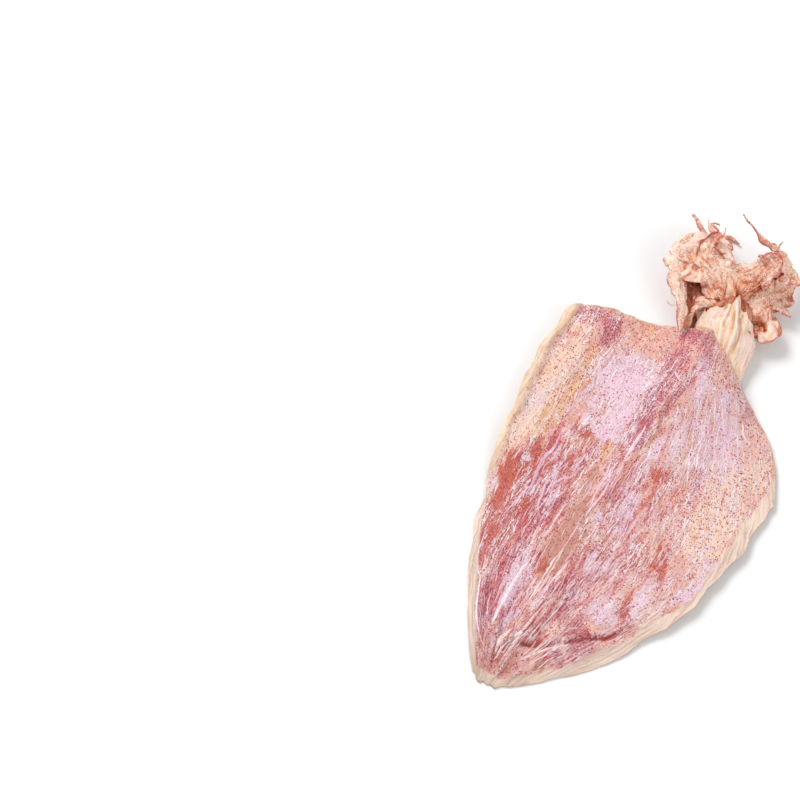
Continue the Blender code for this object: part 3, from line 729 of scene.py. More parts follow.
def arm_width(name, share, edge, grown):
    """Half the width of an arm, with ragged sides and notches. A tentacle swells to a club near its tip."""
    number, fact, flank = number_of(name), facts_of(name), np.sign(edge)
    length, club = fact["length"] * share, CLUB_SWELL * (name in TENTACLES)
    wide = fact["width"] * MM * ((1 - share) ** fact["taper"] + club * bump(share, 0.82, 0.1)) / 2
    wide = np.maximum(wide * (0.45 + 0.55 * grown), TIP_WIDTH / 2)
    ragged = 0.16 * noise(length / 4.0, flank * 3, number, 81)
    ragged = ragged + 0.10 * noise(length / 1.3, flank * 2, number, 82)
    notch = ramp((noise(length / 2.4, flank * 5, number, 86) - 0.35) / 0.25)
    return wide * (1 + (ragged - 0.30 * notch) * np.abs(edge) * grown)


def arm_bend(name, share, edge, grown):
    """How far an arm's cross-section has turned at each point: an even curl, with rims that roll more."""
    number, length, flank = number_of(name), facts_of(name)["length"] * share, np.sign(edge)
    curl = ARM_CURL * (1 + 0.8 * noise(share * 4, 0.0, number, 83)) * (-0.6 if name in OPEN_ARMS else 1.0)
    rolled = RIM_ROLL * noise(length / 11.0, flank * 4, number, 89) * ramp((np.abs(edge) - 0.55) / 0.45)
    return curl * edge + flank * rolled * grown


def arm_relief(off, length, number):
    """Height of the wrinkles across an arm's skin and of the pleats along it, in millimetres."""
    wavy = length / 1.5 + noise(off / 3, length / 5, number, 87)
    wrinkles = 0.24 * ridges(wavy, off / 5, number, 88) ** 2
    drift = off / 2.8 + 0.8 * noise(length / 6, off / 6, number, 92)
    return wrinkles + 0.45 * ridges(drift, length / 13, number, 93) ** 3


def ribbon(name):
    """One arm as a curled ribbon with a thick middle, wrinkled skin and thin rolled, ruffled, worn edges."""
    number, fact = number_of(name), facts_of(name)
    rows = int(fact["length"] * MM / ARM_CELL)
    columns = 2 * int(fact["width"] * MM / ARM_CELL / 2)
    places, acrosses, throughs = arm_centres(name, rows)
    share = np.linspace(0, 1, rows + 1)[:, None]
    edge = np.linspace(-1, 1, columns + 1)[None, :]
    length, flank = fact["length"] * share, np.sign(edge)
    grown = ramp(length * MM / ROOT_LENGTH)
    places = places + (ROOT - places[0]) * (1 - grown)
    wide = arm_width(name, share, edge, grown)
    bend = arm_bend(name, share, edge, grown)
    wave = noise(length / 4.2, flank * 7, number, 84) + 0.6 * noise(length / 2.0, flank * 7, number, 85)
    lift = RUFFLE * wave * np.abs(edge) ** 1.8 * grown * np.minimum(1.0, wide / (3 * MM))
    sideways = wide * from_middle(np.cos(bend))
    upwards = lift - wide * from_middle(np.sin(bend))
    grid = places[:, None] + sideways[:, :, None] * acrosses[:, None]
    grid = grid + upwards[:, :, None] * throughs[:, None]
    amount = CRUMPLING.get(name, 1.0) * grown * (1 - 0.45 * share) * np.ones_like(edge)
    grid = crumpled(grid, amount[:, :, None], 91 + number)
    off = wide * edge / MM
    relief = arm_relief(off, length, number) * grown * MM
    grid = grid + sheet_normals(grid) * relief[:, :, None]
    rib = RIB_THICKNESS * bump(edge, 0, 0.38) * np.sqrt(np.maximum(1 - share, 0.04))
    thick = (MEMBRANE_THICKNESS + rib) * np.minimum(1.0, 0.35 + wide / (3 * MM))
    tone = number * 0.618 % 1
    return sheet(grid, thick, share=share, edge=np.abs(edge), tone=tone, deep=0.0, off=off, way=length)


def between(name, low, high, rows):
    """Points along an arm's middle line, from the share low to the share high."""
    steps = 120
    places = arm_centres(name, steps)[0]
    where = np.linspace(low, high, rows + 1) * steps
    first = np.minimum(where.astype(int), steps - 1)
    return places[first] + (places[first + 1] - places[first]) * (where - first)[:, None]


def web(number, first, second, drop, rows=48, columns=40):
    """A thin skin between two lines, with a free edge that bows in towards the crown."""
    one, other = between(*first, rows), between(*second, rows)
    share = np.linspace(0, 1, columns + 1)
    place = np.linspace(0, 1, rows + 1)[:, None]
    grid = one[:, None] * (1 - share[:, None]) + other[:, None] * share[:, None]
    sag = WEB_SAG * 4 * share * (1 - share) * place
    grid = grid + (CROWN - grid) * sag[:, :, None]
    grid = crumpled(grid, 1.1, 131 + 7 * number)
    grid[:, :, 2] -= drop * MM * 4 * share * (1 - share)
    off, way = np.broadcast_arrays(14 * share, 12 * place)
    drift = off / 2.2 + 0.8 * noise(way / 6, off / 6, number, 94)
    pleats = 0.6 * ridges(drift, way / 12, number, 95) ** 3
    grid = grid + sheet_normals(grid) * (pleats * MM)[:, :, None]
    # A web that hangs low gets painted shade, as much as its drop says.
    tone, deep = number * 0.618 % 1, min(1.0, drop / 3.5)
    return sheet(grid, WEB_THICKNESS, share=0.25, edge=0.45, tone=tone, deep=deep, off=off, way=way)


def strip(number, source, share, across, heading, pitch, length, curl, width, rows=24, columns=6):
    """A thin strip that frays from the grid of an arm, at share along it and across it, and curls."""
    point = source[int(share * (source.shape[0] - 1)), int((across + 1) / 2 * (source.shape[1] - 1))]
    line, sides = [], []
    for row in range(rows + 1):
        turn = radians(curl) * row / rows
        way, rise = radians(heading) + turn, radians(pitch) + 0.5 * turn
        line.append(point)
        sides.append((cos(way), -sin(way), 0.3 * sin(3 * turn)))
        ahead = np.array((sin(way) * cos(rise), cos(way) * cos(rise), sin(rise)))
        point = point + ahead * length * MM / rows
    place = np.linspace(0, 1, rows + 1)[:, None]
    edge = np.linspace(-1, 1, columns + 1)[None, :]
    half = width * MM / 2 * (1 - 0.8 * place**1.5) * (1 + 0.25 * noise(place * 6, number, 3.0, 141))
    grid = np.array(line)[:, None] + (half * edge)[:, :, None] * np.array(sides)[:, None]
    grid = crumpled(grid, 0.7 * place[:, :, None] + 0.1, 151 + number)
    off, way, tone = half * edge / MM, length * place, number * 0.37 % 1
    return sheet(grid, STRIP_THICKNESS, share=0.75, edge=0.6, tone=tone, deep=0.0, off=off, way=way)


def collar_at(place):
    """Centre, half width and half height of the collar's tube at place, 0 at the root and 1 at the rim."""
    scaled = place * (len(COLLAR_KNOTS) - 1)
    k = min(int(scaled), len(COLLAR_KNOTS) - 2)
    blend = float(ramp(scaled - k))
    centre = COLLAR_KNOTS[k] + (COLLAR_KNOTS[k + 1] - COLLAR_KNOTS[k]) * (scaled - k)
    wide = COLLAR_WIDTHS[k] + (COLLAR_WIDTHS[k + 1] - COLLAR_WIDTHS[k]) * blend
    tall = COLLAR_HEIGHTS[k] + (COLLAR_HEIGHTS[k + 1] - COLLAR_HEIGHTS[k]) * blend
    return centre, wide, tall


def collar_relief(side, up, place):
    """Height of the pleats and wrinkles round one ring of the collar."""
    pleat = np.zeros(len(side))
    for at, half, height in PLEATS:
        shifted = at + 0.10 * noise(place * 3, at * 9, 0.0, 163) + 0.12 * (1 - place)
        pleat += height * (0.30 + 0.70 * place) * np.exp(-((np.abs(side - shifted) / half) ** 1.4))
    wavy = side * 5 + 1.2 * noise(place * 3, side * 2, 0.0, 164)
    wrinkle = 0.3 * MM * ridges(wavy, place * 3, np.sign(up), 165) ** 2
    wrinkle += 0.8 * MM * layers(side * 2.2, place * 3.2, np.sign(up) * 2, 166)
    return (pleat - 0.6 * MM + wrinkle) * ramp(np.abs(up) / 0.25)


def collar_rim(side, up):
    """How far the collar's torn rim reaches past its last knot, most in two tongues on its upper side."""
    rim = 1.5 * MM * noise(side * 2.2, up * 2.2, 0.0, 161) + 0.7 * MM * noise(side * 7, up * 7, 0.0, 162)
    rim = rim - 2.5 * MM * ramp((-side - 0.1) / 0.9) - 2.0 * MM * ramp((side - 0.6) / 0.4)
    return rim + (4.0 * MM * bump(side, 0.16, 0.14) + 1.5 * MM * bump(side, -0.24, 0.07)) * (up > 0)


def tube_faces(rings, columns):
    """Faces of a tube of rings, closed at both ends."""
    faces = []
    for low in range(0, (rings - 1) * columns, columns):
        for a in range(columns):
            b = (a + 1) % columns
            faces.append((low + b, low + a, low + columns + a, low + columns + b))
    last = (rings - 1) * columns
    return [*faces, tuple(range(columns)), tuple(range(last + columns - 1, last - 1, -1))]


def collar(rows=120, columns=220, wall_rows=8, mouth_rows=24):
    """The pleated skin round the neck and head, turned in at the crown, where the mouth bulges up in it."""
    turn = 2 * pi * np.arange(columns) / columns
    side, up = np.cos(turn), np.sin(turn)
    axis = COLLAR_KNOTS[-1] - COLLAR_KNOTS[0]
    sideways = np.array((axis[1], -axis[0], 0)) / np.hypot(axis[0], axis[1])
    forward = axis / np.linalg.norm(axis)
    rim = collar_rim(side, up)
    rings, shares, outside = [], [], []
    for row in range(rows + wall_rows + mouth_rows + 1):
        inner = min(max(0, row - rows) / wall_rows, 1.0)
        mouth = max(0, row - rows - wall_rows) / mouth_rows
        place = min(row / rows, 1.0) - 0.05 * inner
        centre, wide, tall = collar_at(place)
        wide, tall = wide - COLLAR_WALL * inner, tall - COLLAR_WALL * inner
        relief = collar_relief(side, up, place) * (1 - mouth)
        open_share = cos(pi / 2 * mouth) if mouth < 1 else 0.02
        points = centre + np.outer(wide * side * open_share, sideways)
        points[:, 2] += (tall * up + relief * np.sign(up)) * open_share
        lumps = 1.0 * MM * noise(side * open_share * 4, up * open_share * 4, 0.0, 167) * ramp(mouth / 0.3)
        onward = rim * ramp((place - 0.6) / 0.4) * (1 - mouth) + MOUTH_BULGE * sin(pi / 2 * mouth) + lumps
        rings.append(points + np.outer(onward, forward))
        shares += [place] * columns
        outside += [1.0 if row <= rows else 0.0] * columns
    points = np.array(rings)
    points[:, :, 2] = np.maximum(points[:, :, 2], 0.0)
    wrapped = np.concatenate((points[:, -3:], points, points[:, :3]), axis=1)
    fold = fold_of(wrapped, -sheet_normals(wrapped))[:, 3:-3]
    outside, none = np.array(outside), np.zeros(len(outside))
    # The collar's inside, where it turns in at the crown, is marked for painted shade.
    labels = {"share": none, "edge": none, "tone": none + 0.3, "deep": 0.8 * (1 - outside)}
    labels |= {"off": np.tile(side, len(rings)) * 12, "way": np.array(shares) * 45}
    labels |= {"collar": outside, "fold": fold.ravel()}
    return clear_of_mantle(points.reshape(-1, 3)), tube_faces(len(rings), columns), labels


def fold_of(grid, normal, reach=2):
    """How many millimetres each point lies below those round it: above 0 in a fold, below 0 on a crest. The
    arms' and collar's colour takes painted shade and painted highlights from it.
    """
    wide = np.pad(grid, ((reach, reach), (reach, reach), (0, 0)), mode="edge")
    middle, low, high = slice(reach, -reach), slice(None, -2 * reach), slice(2 * reach, None)
    mean = (wide[middle, low] + wide[middle, high] + wide[low, middle] + wide[high, middle]) / 4
    return ((mean - grid) * normal).sum(axis=2) / MM


def flesh(sheets):
    """All sheets as one mesh: points, faces and labels, each sheet closed round its rim."""
    points, faces, labels = [], [], {label: [] for label in (*ARM_LABELS, "collar", "fold")}
    start = 0
    for part in sheets:
        grid = part["grid"]
        normal = sheet_normals(grid)
        fold = fold_of(grid, normal)
        half = (part["thick"] / 2)[:, :, None]
        for sign in (1, -1):
            layer = (grid + normal * half * sign).reshape(-1, 3)
            layer[:, 2] = np.maximum(layer[:, 2], 0.15 * MM if sign > 0 else 0.0)
            points.append(layer)
            for label in ARM_LABELS:
                labels[label].append(part[label].ravel())
            labels["collar"].append(np.zeros(len(layer)))
            labels["fold"].append(sign * fold.ravel())
        rows, columns = grid.shape[:2]
        faces += [tuple(start + a for a in face) for face in sheet_faces(rows - 1, columns - 1)]
        start += 2 * rows * columns
    return np.concatenate(points), faces, {label: np.concatenate(values) for label, values in labels.items()}


def sucker_places(name, part):
    """Centre, outward way and radius of each cup on an arm, in two rows with some places left empty."""
    grid, normal = part["grid"], sheet_normals(part["grid"])
    sign = 1 if name in OPEN_ARMS else -1
    fact = facts_of(name)
    length, narrow = fact["length"] * MM, min(1.0, fact["width"] / 12) ** 0.5
    rows, columns = grid.shape[0] - 1, grid.shape[1] - 1
    share, row = 0.10, 0
    while share < 0.97:
        whole = SUCKER_RADIUS * (0.55 + 0.6 * (1 - share)) * narrow
        for lane in (-1, 1):
            shrunk = float(noise(row * 1.7, lane * 9.0, share * 5, 173))
            if shrunk < -0.5:
                continue
            a = min(int((share + 0.25 * lane * SUCKER_SPACING / length) * rows), rows)
            b = int(columns / 2 * (1 + 0.34 * lane + 0.10 * float(noise(row * 0.7, lane * 5.0, 1.0, 171))))
            tilt = [float(noise(row * 1.3, lane * 4.0, axis, 175)) for axis in (0.5, 2.5, 4.5)]
            up = normal[a, b] * sign + 0.35 * np.array(tilt)
            centre = grid[a, b] + normal[a, b] * sign * part["thick"][a, b] / 2
            yield centre, up / np.linalg.norm(up), whole * (1 + 0.35 * shrunk)
        share += SUCKER_SPACING / length * (0.55 + 0.5 * (1 - share))
        row += 1


def suckers(ribbons):
    """Small cups along the inner face of each arm."""
    turn = 2 * pi * np.arange(CUP_SIDES) / CUP_SIDES
    points, faces, tones = [], [], []
    for name in ARMS:
        for centre, up, size in sucker_places(name, ribbons[name]):
            east = np.cross(up, (0.3, 0.5, 0.8))
            east /= np.linalg.norm(east)
            ring = np.outer(np.cos(turn), east) + np.outer(np.sin(turn), np.cross(up, east))
            first = CUP_SIDES * len(points)
            for reach, height, tone in CUP_PROFILE:
                points.append(centre + ring * reach * size + up * height * size)
                tones += [tone] * CUP_SIDES
            for low in range(first, CUP_SIDES * (len(points) - 1), CUP_SIDES):
                for i in range(CUP_SIDES):
                    j = (i + 1) % CUP_SIDES
                    faces.append((low + i, low + j, low + CUP_SIDES + j, low + CUP_SIDES + i))
            last = CUP_SIDES * (len(points) - 1)
            faces.append(tuple(range(last, last + CUP_SIDES)))
            faces.append(tuple(range(first + CUP_SIDES - 1, first - 1, -1)))
    points = np.concatenate(points)
    points[:, 2] = np.maximum(points[:, 2], 0.0)
    return mesh_object("suckers", points, faces, {"tone": tones})


def arms(ribbons):
    """The arms and tentacles, with the strips that fray from them."""
    strips = [strip(number, ribbons[arm]["grid"], *facts) for number, (arm, *facts) in enumerate(STRIPS)]
    return flesh([*ribbons.values(), *strips])


def head():
    """The collar with the mouth in it, and the webs between the arms."""
    webs = [web(number, row[:3], row[3:6], row[6]) for number, row in enumerate(WEBS)]
    points, faces, labels = flesh(webs)
    more, more_faces, more_labels = collar()
    faces += [tuple(len(points) + a for a in face) for face in more_faces]
    labels = {label: np.concatenate((labels[label], more_labels[label])) for label in labels}
    return np.concatenate((points, more)), faces, labels


def head_and_arms(ribbons):
    """The head and the arms as mesh objects, each point marked with how far other skin shuts it in, which
    sets the painted shade in their hollows.
    """
    made = []
    for name, (points, faces, labels) in (("head", head()), ("arms", arms(ribbons))):
        made.append(mesh_object(name, clear_of_mantle(points), faces, labels))
    for piece, hollow_shade in zip(made, hollow_shade_of(made)):
        mark(piece.data, "hollow_shade", hollow_shade)
    return made


def clear_of_mantle(points):
    """Keeps what lies under the mantle from coming up through it."""
    x, y, z = points.T
    side = np.where(x < 0, -1.0, 1.0)
    across = np.clip(x / half_width(side, y), -1, 1)
    covered = (y < margin(across) + 0.3 * MM) & (y > 0.5 * MANTLE_LENGTH)
    roof = mantle_floor(x, y, across) + 0.5 * MM
    under = covered & (z < roof + 5 * MM)
    return np.stack((x, y, np.where(under, np.minimum(z, roof), z)), axis=1)


def tree_of(pieces):
    """All faces of the pieces in a tree that rays can be cast at."""
    points, faces = [], []
    for piece in pieces:
        faces += [[len(points) + a for a in face.vertices] for face in piece.data.polygons]
        points += [vertex.co for vertex in piece.data.vertices]
    return BVHTree.FromPolygons(points, faces)


def hollow_shade_of(pieces):
    """How much of the space in front of each piece's points is shut in by skin near by, from 0 to 1. The
    arms' skin is painted darker by it, as painted shade.
    """
    tree = tree_of(pieces)
    golden = pi * (3 - 5**0.5)
    rays = []
    for number in range(HOLLOW_RAYS):
        height = 0.25 + 0.7 * (number + 0.5) / HOLLOW_RAYS
        flat = (1 - height**2) ** 0.5
        rays.append(Vector((flat * cos(golden * number), flat * sin(golden * number), height)))
    for piece in pieces:
        shut = np.zeros(len(piece.data.vertices), np.float32)
        for number, vertex in enumerate(piece.data.vertices):
            turn = vertex.normal.to_track_quat("Z", "Y")
            start = vertex.co + vertex.normal * 0.3 * MM
            hits = sum(tree.ray_cast(start, turn @ ray, HOLLOW_REACH)[0] is not None for ray in rays)
            shut[number] = hits / HOLLOW_RAYS
        yield shut


# Colours of the skins, as the 0 to 255 numbers that a screen shows.
PALETTE = {
    "flesh": (230, 184, 172),
    "tan flesh": (216, 156, 138),
    "peach": (240, 207, 185),
    "amber": (230, 180, 138),
    "bare brown": (190, 136, 118),
    "pale grain": (246, 216, 208),
    "pores": (190, 110, 88),
    "orange film": (204, 90, 56),
    "dark red film": (150, 34, 22),
    "rose film": (218, 136, 148),
    "crimson film": (142, 22, 44),
    "mauve bloom": (216, 176, 196),
    "lilac bloom": (242, 214, 228),
    "stain": (150, 112, 120),
    "crease_dark": (150, 50, 40),
    "thread": (252, 238, 242),
    "small speck": (166, 26, 50),
    "large speck": (138, 28, 42),
    "rim shade": (216, 188, 170),
    "rim cream": (238, 218, 200),
    "hem cream": (246, 224, 198),
    "hem amber": (234, 192, 146),
    "inner amber": (222, 176, 130),
    "inner cream": (238, 214, 184),
    "inner thread": (248, 234, 212),
    "pink shred": (244, 226, 238),
    "dark pink shred": (218, 170, 190),
    "cream shred": (246, 228, 212),
    "dark cream shred": (230, 194, 166),
    "shred speck": (190, 70, 84),
    "arm cream": (246, 212, 184),
    "arm orange": (226, 150, 102),
    "collar cream": (250, 236, 222),
    "collar amber": (224, 172, 122),
    "collar pink": (244, 214, 206),
    "arm fibre": (248, 228, 216),
    "arm groove": (206, 116, 66),
    "veil": (244, 214, 204),
    "mottle": (200, 116, 90),
    # Painted shade in the folds of the collar and the arms.
    "collar fold shade": (208, 146, 78),
    "arm fold shade": (182, 88, 50),
    # Painted highlight on the crests of folds.
    "crest": (252, 234, 224),
    "vein": (178, 72, 48),
    "arm rim": (184, 74, 58),
    "red tip": (196, 92, 82),
    # Painted shade in the hollows between the arms, on low webs and inside the collar.
    "hollow_shade": (204, 104, 48),
    "deep hollow": (146, 60, 28),
    "arm speck": (186, 72, 78),
    "pale speck": (255, 240, 232),
    "cup": (248, 228, 216),
    "tan cup": (236, 196, 178),
    "cup pit": (214, 144, 118),
}


def srgb(red, green, blue):
    """A colour for a node, from the numbers that a screen shows."""
    values = [channel / 255 for channel in (red, green, blue)]
    return (*[v / 12.92 if v <= 0.04045 else ((v + 0.055) / 1.055) ** 2.4 for v in values], 1.0)


class Value:
    """A number that varies over a skin. Sums, differences and products of such numbers make nodes."""

    def __init__(self, skin, socket):
        self.skin = skin
        self.socket = socket

    def __add__(self, other):
        return self.skin.math("ADD", self, other)

    def __sub__(self, other):
        return self.skin.math("SUBTRACT", self, other)

    def __mul__(self, other):
        return self.skin.math("MULTIPLY", self, other)

    __radd__ = __add__
    __rmul__ = __mul__

    def step(self, low, high, top=1.0, bottom=0.0):
        """bottom below low, top above high, and smooth between."""
        inputs = {"Value": self, "From Min": low, "From Max": high, "To Min": bottom, "To Max": top}
        made = self.skin.node("ShaderNodeMapRange", inputs, interpolation_type="SMOOTHSTEP")
        return Value(self.skin, made.outputs["Result"])

    def crest(self, thin):
        """1 on thin lines where noise passes its middle value, 0 elsewhere."""
        away = self.skin.math("ABSOLUTE", self - 0.5)
        return away.step(thin, 2.4 * thin, 0.0, 1.0)


class Skin:
    """One procedural material. Its colour is painted over, tone by tone, and then joined to the shader."""

    def __init__(self, name):
        self.material = bpy.data.materials.new(name)
        self.material.use_nodes = True
        self.tree = self.material.node_tree
        self.shader = self.tree.nodes["Principled BSDF"]
        self.colour = None

    def node(self, kind, inputs, **settings):
        made = self.tree.nodes.new(kind)
        for key, value in settings.items():
            setattr(made, key, value)
        for key, value in inputs.items():
            self.put(made.inputs[key], value)
        return made

    def put(self, socket, value):
        """Joins a socket to a value or to another node's output, or sets it to a plain number or a tone."""
        if isinstance(value, str):
            value = srgb(*PALETTE[value])
        value = getattr(value, "socket", value)
        if isinstance(value, bpy.types.NodeSocket):
            self.tree.links.new(value, socket)
        else:
            socket.default_value = value

    def attribute(self, name):
        return Value(self, self.node("ShaderNodeAttribute", {}, attribute_name=name).outputs["Fac"])

    def math(self, operation, a, b=0.0):
        return Value(self, self.node("ShaderNodeMath", {0: a, 1: b}, operation=operation).outputs[0])

    def vector(self, x, y, z=0.0):
        return self.node("ShaderNodeCombineXYZ", {"X": x, "Y": y, "Z": z}).outputs[0]

    def scaled(self, where, factor):
        return self.node("ShaderNodeVectorMath", {0: where, "Scale": factor}, operation="SCALE").outputs[0]

    def place(self):
        """The point's own coordinates, in millimetres."""
        return self.scaled(self.node("ShaderNodeTexCoord", {}).outputs["Object"], 1000.0)

    def ragged(self, where, reach, scale):
        """The coordinates moved about by up to reach, which gives what is drawn there ragged outlines."""
        noise_node = self.node("ShaderNodeTexNoise", {"Vector": where, "Scale": scale, "Detail": 1.0})
        moved = self.scaled(noise_node.outputs["Color"], reach)
        return self.node("ShaderNodeVectorMath", {0: where, 1: moved}, operation="ADD").outputs[0]

    def noise(self, where, scale, detail=3.0, roughness=0.55, distortion=0.0):
        inputs = {"Vector": where, "Scale": scale, "Detail": detail, "Roughness": roughness}
        made = self.node("ShaderNodeTexNoise", {**inputs, "Distortion": distortion})
        return Value(self, made.outputs["Fac"])

    def dots(self, where, spacing, size, density, dimensions="3D"):
        """Specks on a jittered grid. density, from 0 to 1, is the share of the places that have one."""
        inputs = {"Vector": where, "Scale": 1 / spacing}
        cells = self.node("ShaderNodeTexVoronoi", inputs, voronoi_dimensions=dimensions)
        random = self.node("ShaderNodeSeparateColor", {0: cells.outputs["Color"]})
        reach = Value(self, random.outputs[1]).step(0.0, 1.0, size / spacing, size * 0.45 / spacing)
        inside = (reach - cells.outputs["Distance"]).step(0.0, 0.11 / spacing)
        return inside * self.math("LESS_THAN", random.outputs[0], density)

    def mix(self, share, first, second):
        """The first tone where share is 0, and the second where it is 1."""
        return self.node("ShaderNodeMix", {0: share, 6: first, 7: second}, data_type="RGBA").outputs[2]

    def paint(self, share, tone):
        """Covers the colour with a tone, as much as share says."""
        self.colour = self.mix(share, self.colour, tone)

    def emboss(self, height, strength, depth):
        """Fine relief that only the light shows."""
        made = self.node("ShaderNodeBump", {"Strength": strength, "Distance": depth, "Height": height})
        self.put(self.shader.inputs["Normal"], made.outputs["Normal"])

    def done(self, roughness, softness):
        """The material, softened by light that enters the skin and leaves it near by."""
        inputs = self.shader.inputs
        self.put(inputs["Base Color"], self.colour)
        self.put(inputs["Roughness"], roughness)
        inputs["Subsurface Weight"].default_value = softness
        inputs["Subsurface Radius"].default_value = (1.0, 0.75, 0.60)
        inputs["Subsurface Scale"].default_value = 0.5 * MM
        inputs["Specular IOR Level"].default_value = 0.45
        return self.material


def mantle_textures(skin):
    """The textures that the mantle's skin is made of. Most are drawn out along its fibres."""
    place = skin.place()
    along = skin.attribute("fibre_along")
    bent = skin.attribute("fibre_across") + 4.0 * skin.noise(place, 0.12, 3.0)

    def stretched(wide, long, seed, detail, roughness=0.65):
        """Noise with features that are wide across the fibres and long along them, in millimetres."""
        where = skin.vector(bent * (1 / wide), along * (1 / long), seed)
        return skin.noise(where, 1.0, detail, roughness, 0.15)

    return SimpleNamespace(
        broad=stretched(7.0, 30.0, 0.0, 5.0),
        streaks=stretched(2.0, 11.0, 7.0, 5.0),
        fibres=stretched(0.70, 4.5, 3.0, 3.0, 0.7),
        long_threads=stretched(1.3, 26.0, 11.0, 2.0, 0.6),
        short_threads=stretched(0.8, 9.0, 15.0, 2.0, 0.6),
        bundles=stretched(6.0, 22.0, 19.0, 2.0, 0.5),
        blotches=skin.noise(place, 0.13, 5.0, 0.62, 0.5),
        grain=skin.noise(place, 1.5, 2.0, 0.9),
        rough_place=skin.ragged(place, 1.1, 1.3),
    )


def paint_flesh(skin, texture):
    """Peach, amber and bare brown patches with torn edges, with a pale grain and dark pores."""
    grain = texture.grain
    skin.colour = skin.mix(texture.blotches.step(0.38, 0.62), "flesh", "tan flesh")
    for kind, tone in (("peach", "peach"), ("amber", "amber"), ("window", "bare brown")):
        ragged = texture.blotches * 0.8 + texture.streaks * 1.1 - 0.95
        skin.paint((skin.attribute(kind) * 0.9 + ragged).step(0.36, 0.58), tone)
    skin.paint(grain.step(0.50, 0.66, 0.45), "pale grain")
    skin.paint((texture.fibres * 0.6 + grain * 0.4).step(0.44, 0.58) * 0.36, "pores")


def paint_films(skin, texture):
    """Torn films of red and crimson pigment, and of lilac bloom over them. Returns the bloom's share."""
    grain, fibres, magenta = texture.grain, texture.fibres, skin.attribute("magenta")
    fleshy = skin.attribute("peach") + skin.attribute("amber")
    bare = skin.attribute("window") * -0.38 + fleshy * -0.06
    film = texture.broad * 0.5 + texture.streaks * 0.8 + fibres * 0.6 + grain * 0.5 + bare - 1.215
    stipple = skin.dots(texture.rough_place, 0.90, 0.50, 0.75, "2D")
    grainy = skin.math("MAXIMUM", stipple, fibres.step(0.58, 0.38, 0.70))
    red = (skin.attribute("red") * 0.52 + film).step(0.08, 0.20)
    skin.paint(red * 0.88, skin.mix(grainy, "orange film", "dark red film"))
    crimson = (magenta * 0.52 + film).step(0.08, 0.22)
    skin.paint(crimson * 0.82, skin.mix(grainy, "rose film", "crimson film"))
    frost = texture.broad * 0.5 + fibres * 0.8 + texture.streaks * -0.7 + grain * 0.5 - 0.55
    bloom = (skin.attribute("bloom") * 0.40 + frost + bare).step(0.14, 0.22)
    skin.paint(bloom * 0.90, skin.mix(grain.step(0.38, 0.62), "mauve bloom", "lilac bloom"))
    skin.paint(magenta * 0.12, "stain")
    return bloom


def paint_specks(skin, texture, bloom):
    """Crimson specks, close together on the magenta patches and sparse on the bloom."""
    density = skin.attribute("specks") * 0.50 + 0.44 + skin.attribute("magenta") * 0.40 + bloom * -0.22
    small = skin.dots(texture.rough_place, 0.80, 0.36, density, "2D")
    skin.paint(small * 0.95, "small speck")
    large = skin.dots(texture.rough_place, 1.9, 0.39, density * 0.27, "2D")
    skin.paint(large * 0.70, "large speck")


def mantle_skin():
    """Flesh under torn films of pigment and bloom, creases, pale threads, specks, and cream edges."""
    skin = Skin("mantle_skin")
    texture = mantle_textures(skin)
    grain, streaks, long_threads = texture.grain, texture.streaks, texture.long_threads
    paint_flesh(skin, texture)
    bloom = paint_films(skin, texture)
    # Darker red-brown painted along the crease lines.
    crease_dark = (skin.attribute("crease") + streaks * 0.5).step(0.85, 1.15)
    skin.paint(crease_dark * 0.75, "crease_dark")
    threads = skin.math("MAXIMUM", long_threads.crest(0.012), texture.short_threads.crest(0.010))
    threads = threads * (texture.bundles + skin.attribute("window") * -0.15).step(0.40, 0.56)
    skin.paint(threads * 0.85, "thread")
    paint_specks(skin, texture, bloom)
    cream = (skin.attribute("cream") + streaks * 0.5).step(0.62, 1.05)
    skin.paint(cream * 0.88, skin.mix(long_threads.step(0.42, 0.58), "rim shade", "rim cream"))
    hem_tone = skin.mix(streaks.step(0.40, 0.60), "hem cream", "hem amber")
    skin.paint(skin.attribute("hem") * 0.60, hem_tone)
    inner = skin.mix(streaks.step(0.38, 0.62), "inner amber", "inner cream")
    inner = skin.mix(threads * 0.6, inner, "inner thread")
    skin.paint(skin.attribute("inner_face"), inner)
    skin.emboss(texture.fibres * 0.9 + grain * 0.6 + bloom * 0.2 + threads * 0.3, 0.7, 0.6 * MM)
    return skin.done((bloom + grain * 0.4).step(0.1, 1.1, 0.75, 0.46), 0.10)


def film_skin():
    """Whitish lilac to cream shreds, with specks like those of the skin under them."""
    skin = Skin("film_skin")
    place = skin.place()
    grain = skin.noise(place, 1.1, 3.0, 0.8)
    tone = (grain * 0.8 + skin.attribute("tone") * 0.35).step(0.42, 0.68)
    pink = skin.mix(tone, "pink shred", "dark pink shred")
    cream = skin.mix(tone, "cream shred", "dark cream shred")
    skin.colour = skin.mix(skin.attribute("cream"), pink, cream)
    skin.paint(skin.dots(place, 1.0, 0.34, 0.35, "2D") * 0.45, "shred speck")
    skin.emboss(grain, 0.5, 0.4 * MM)
    return skin.done(0.5, 0.10)


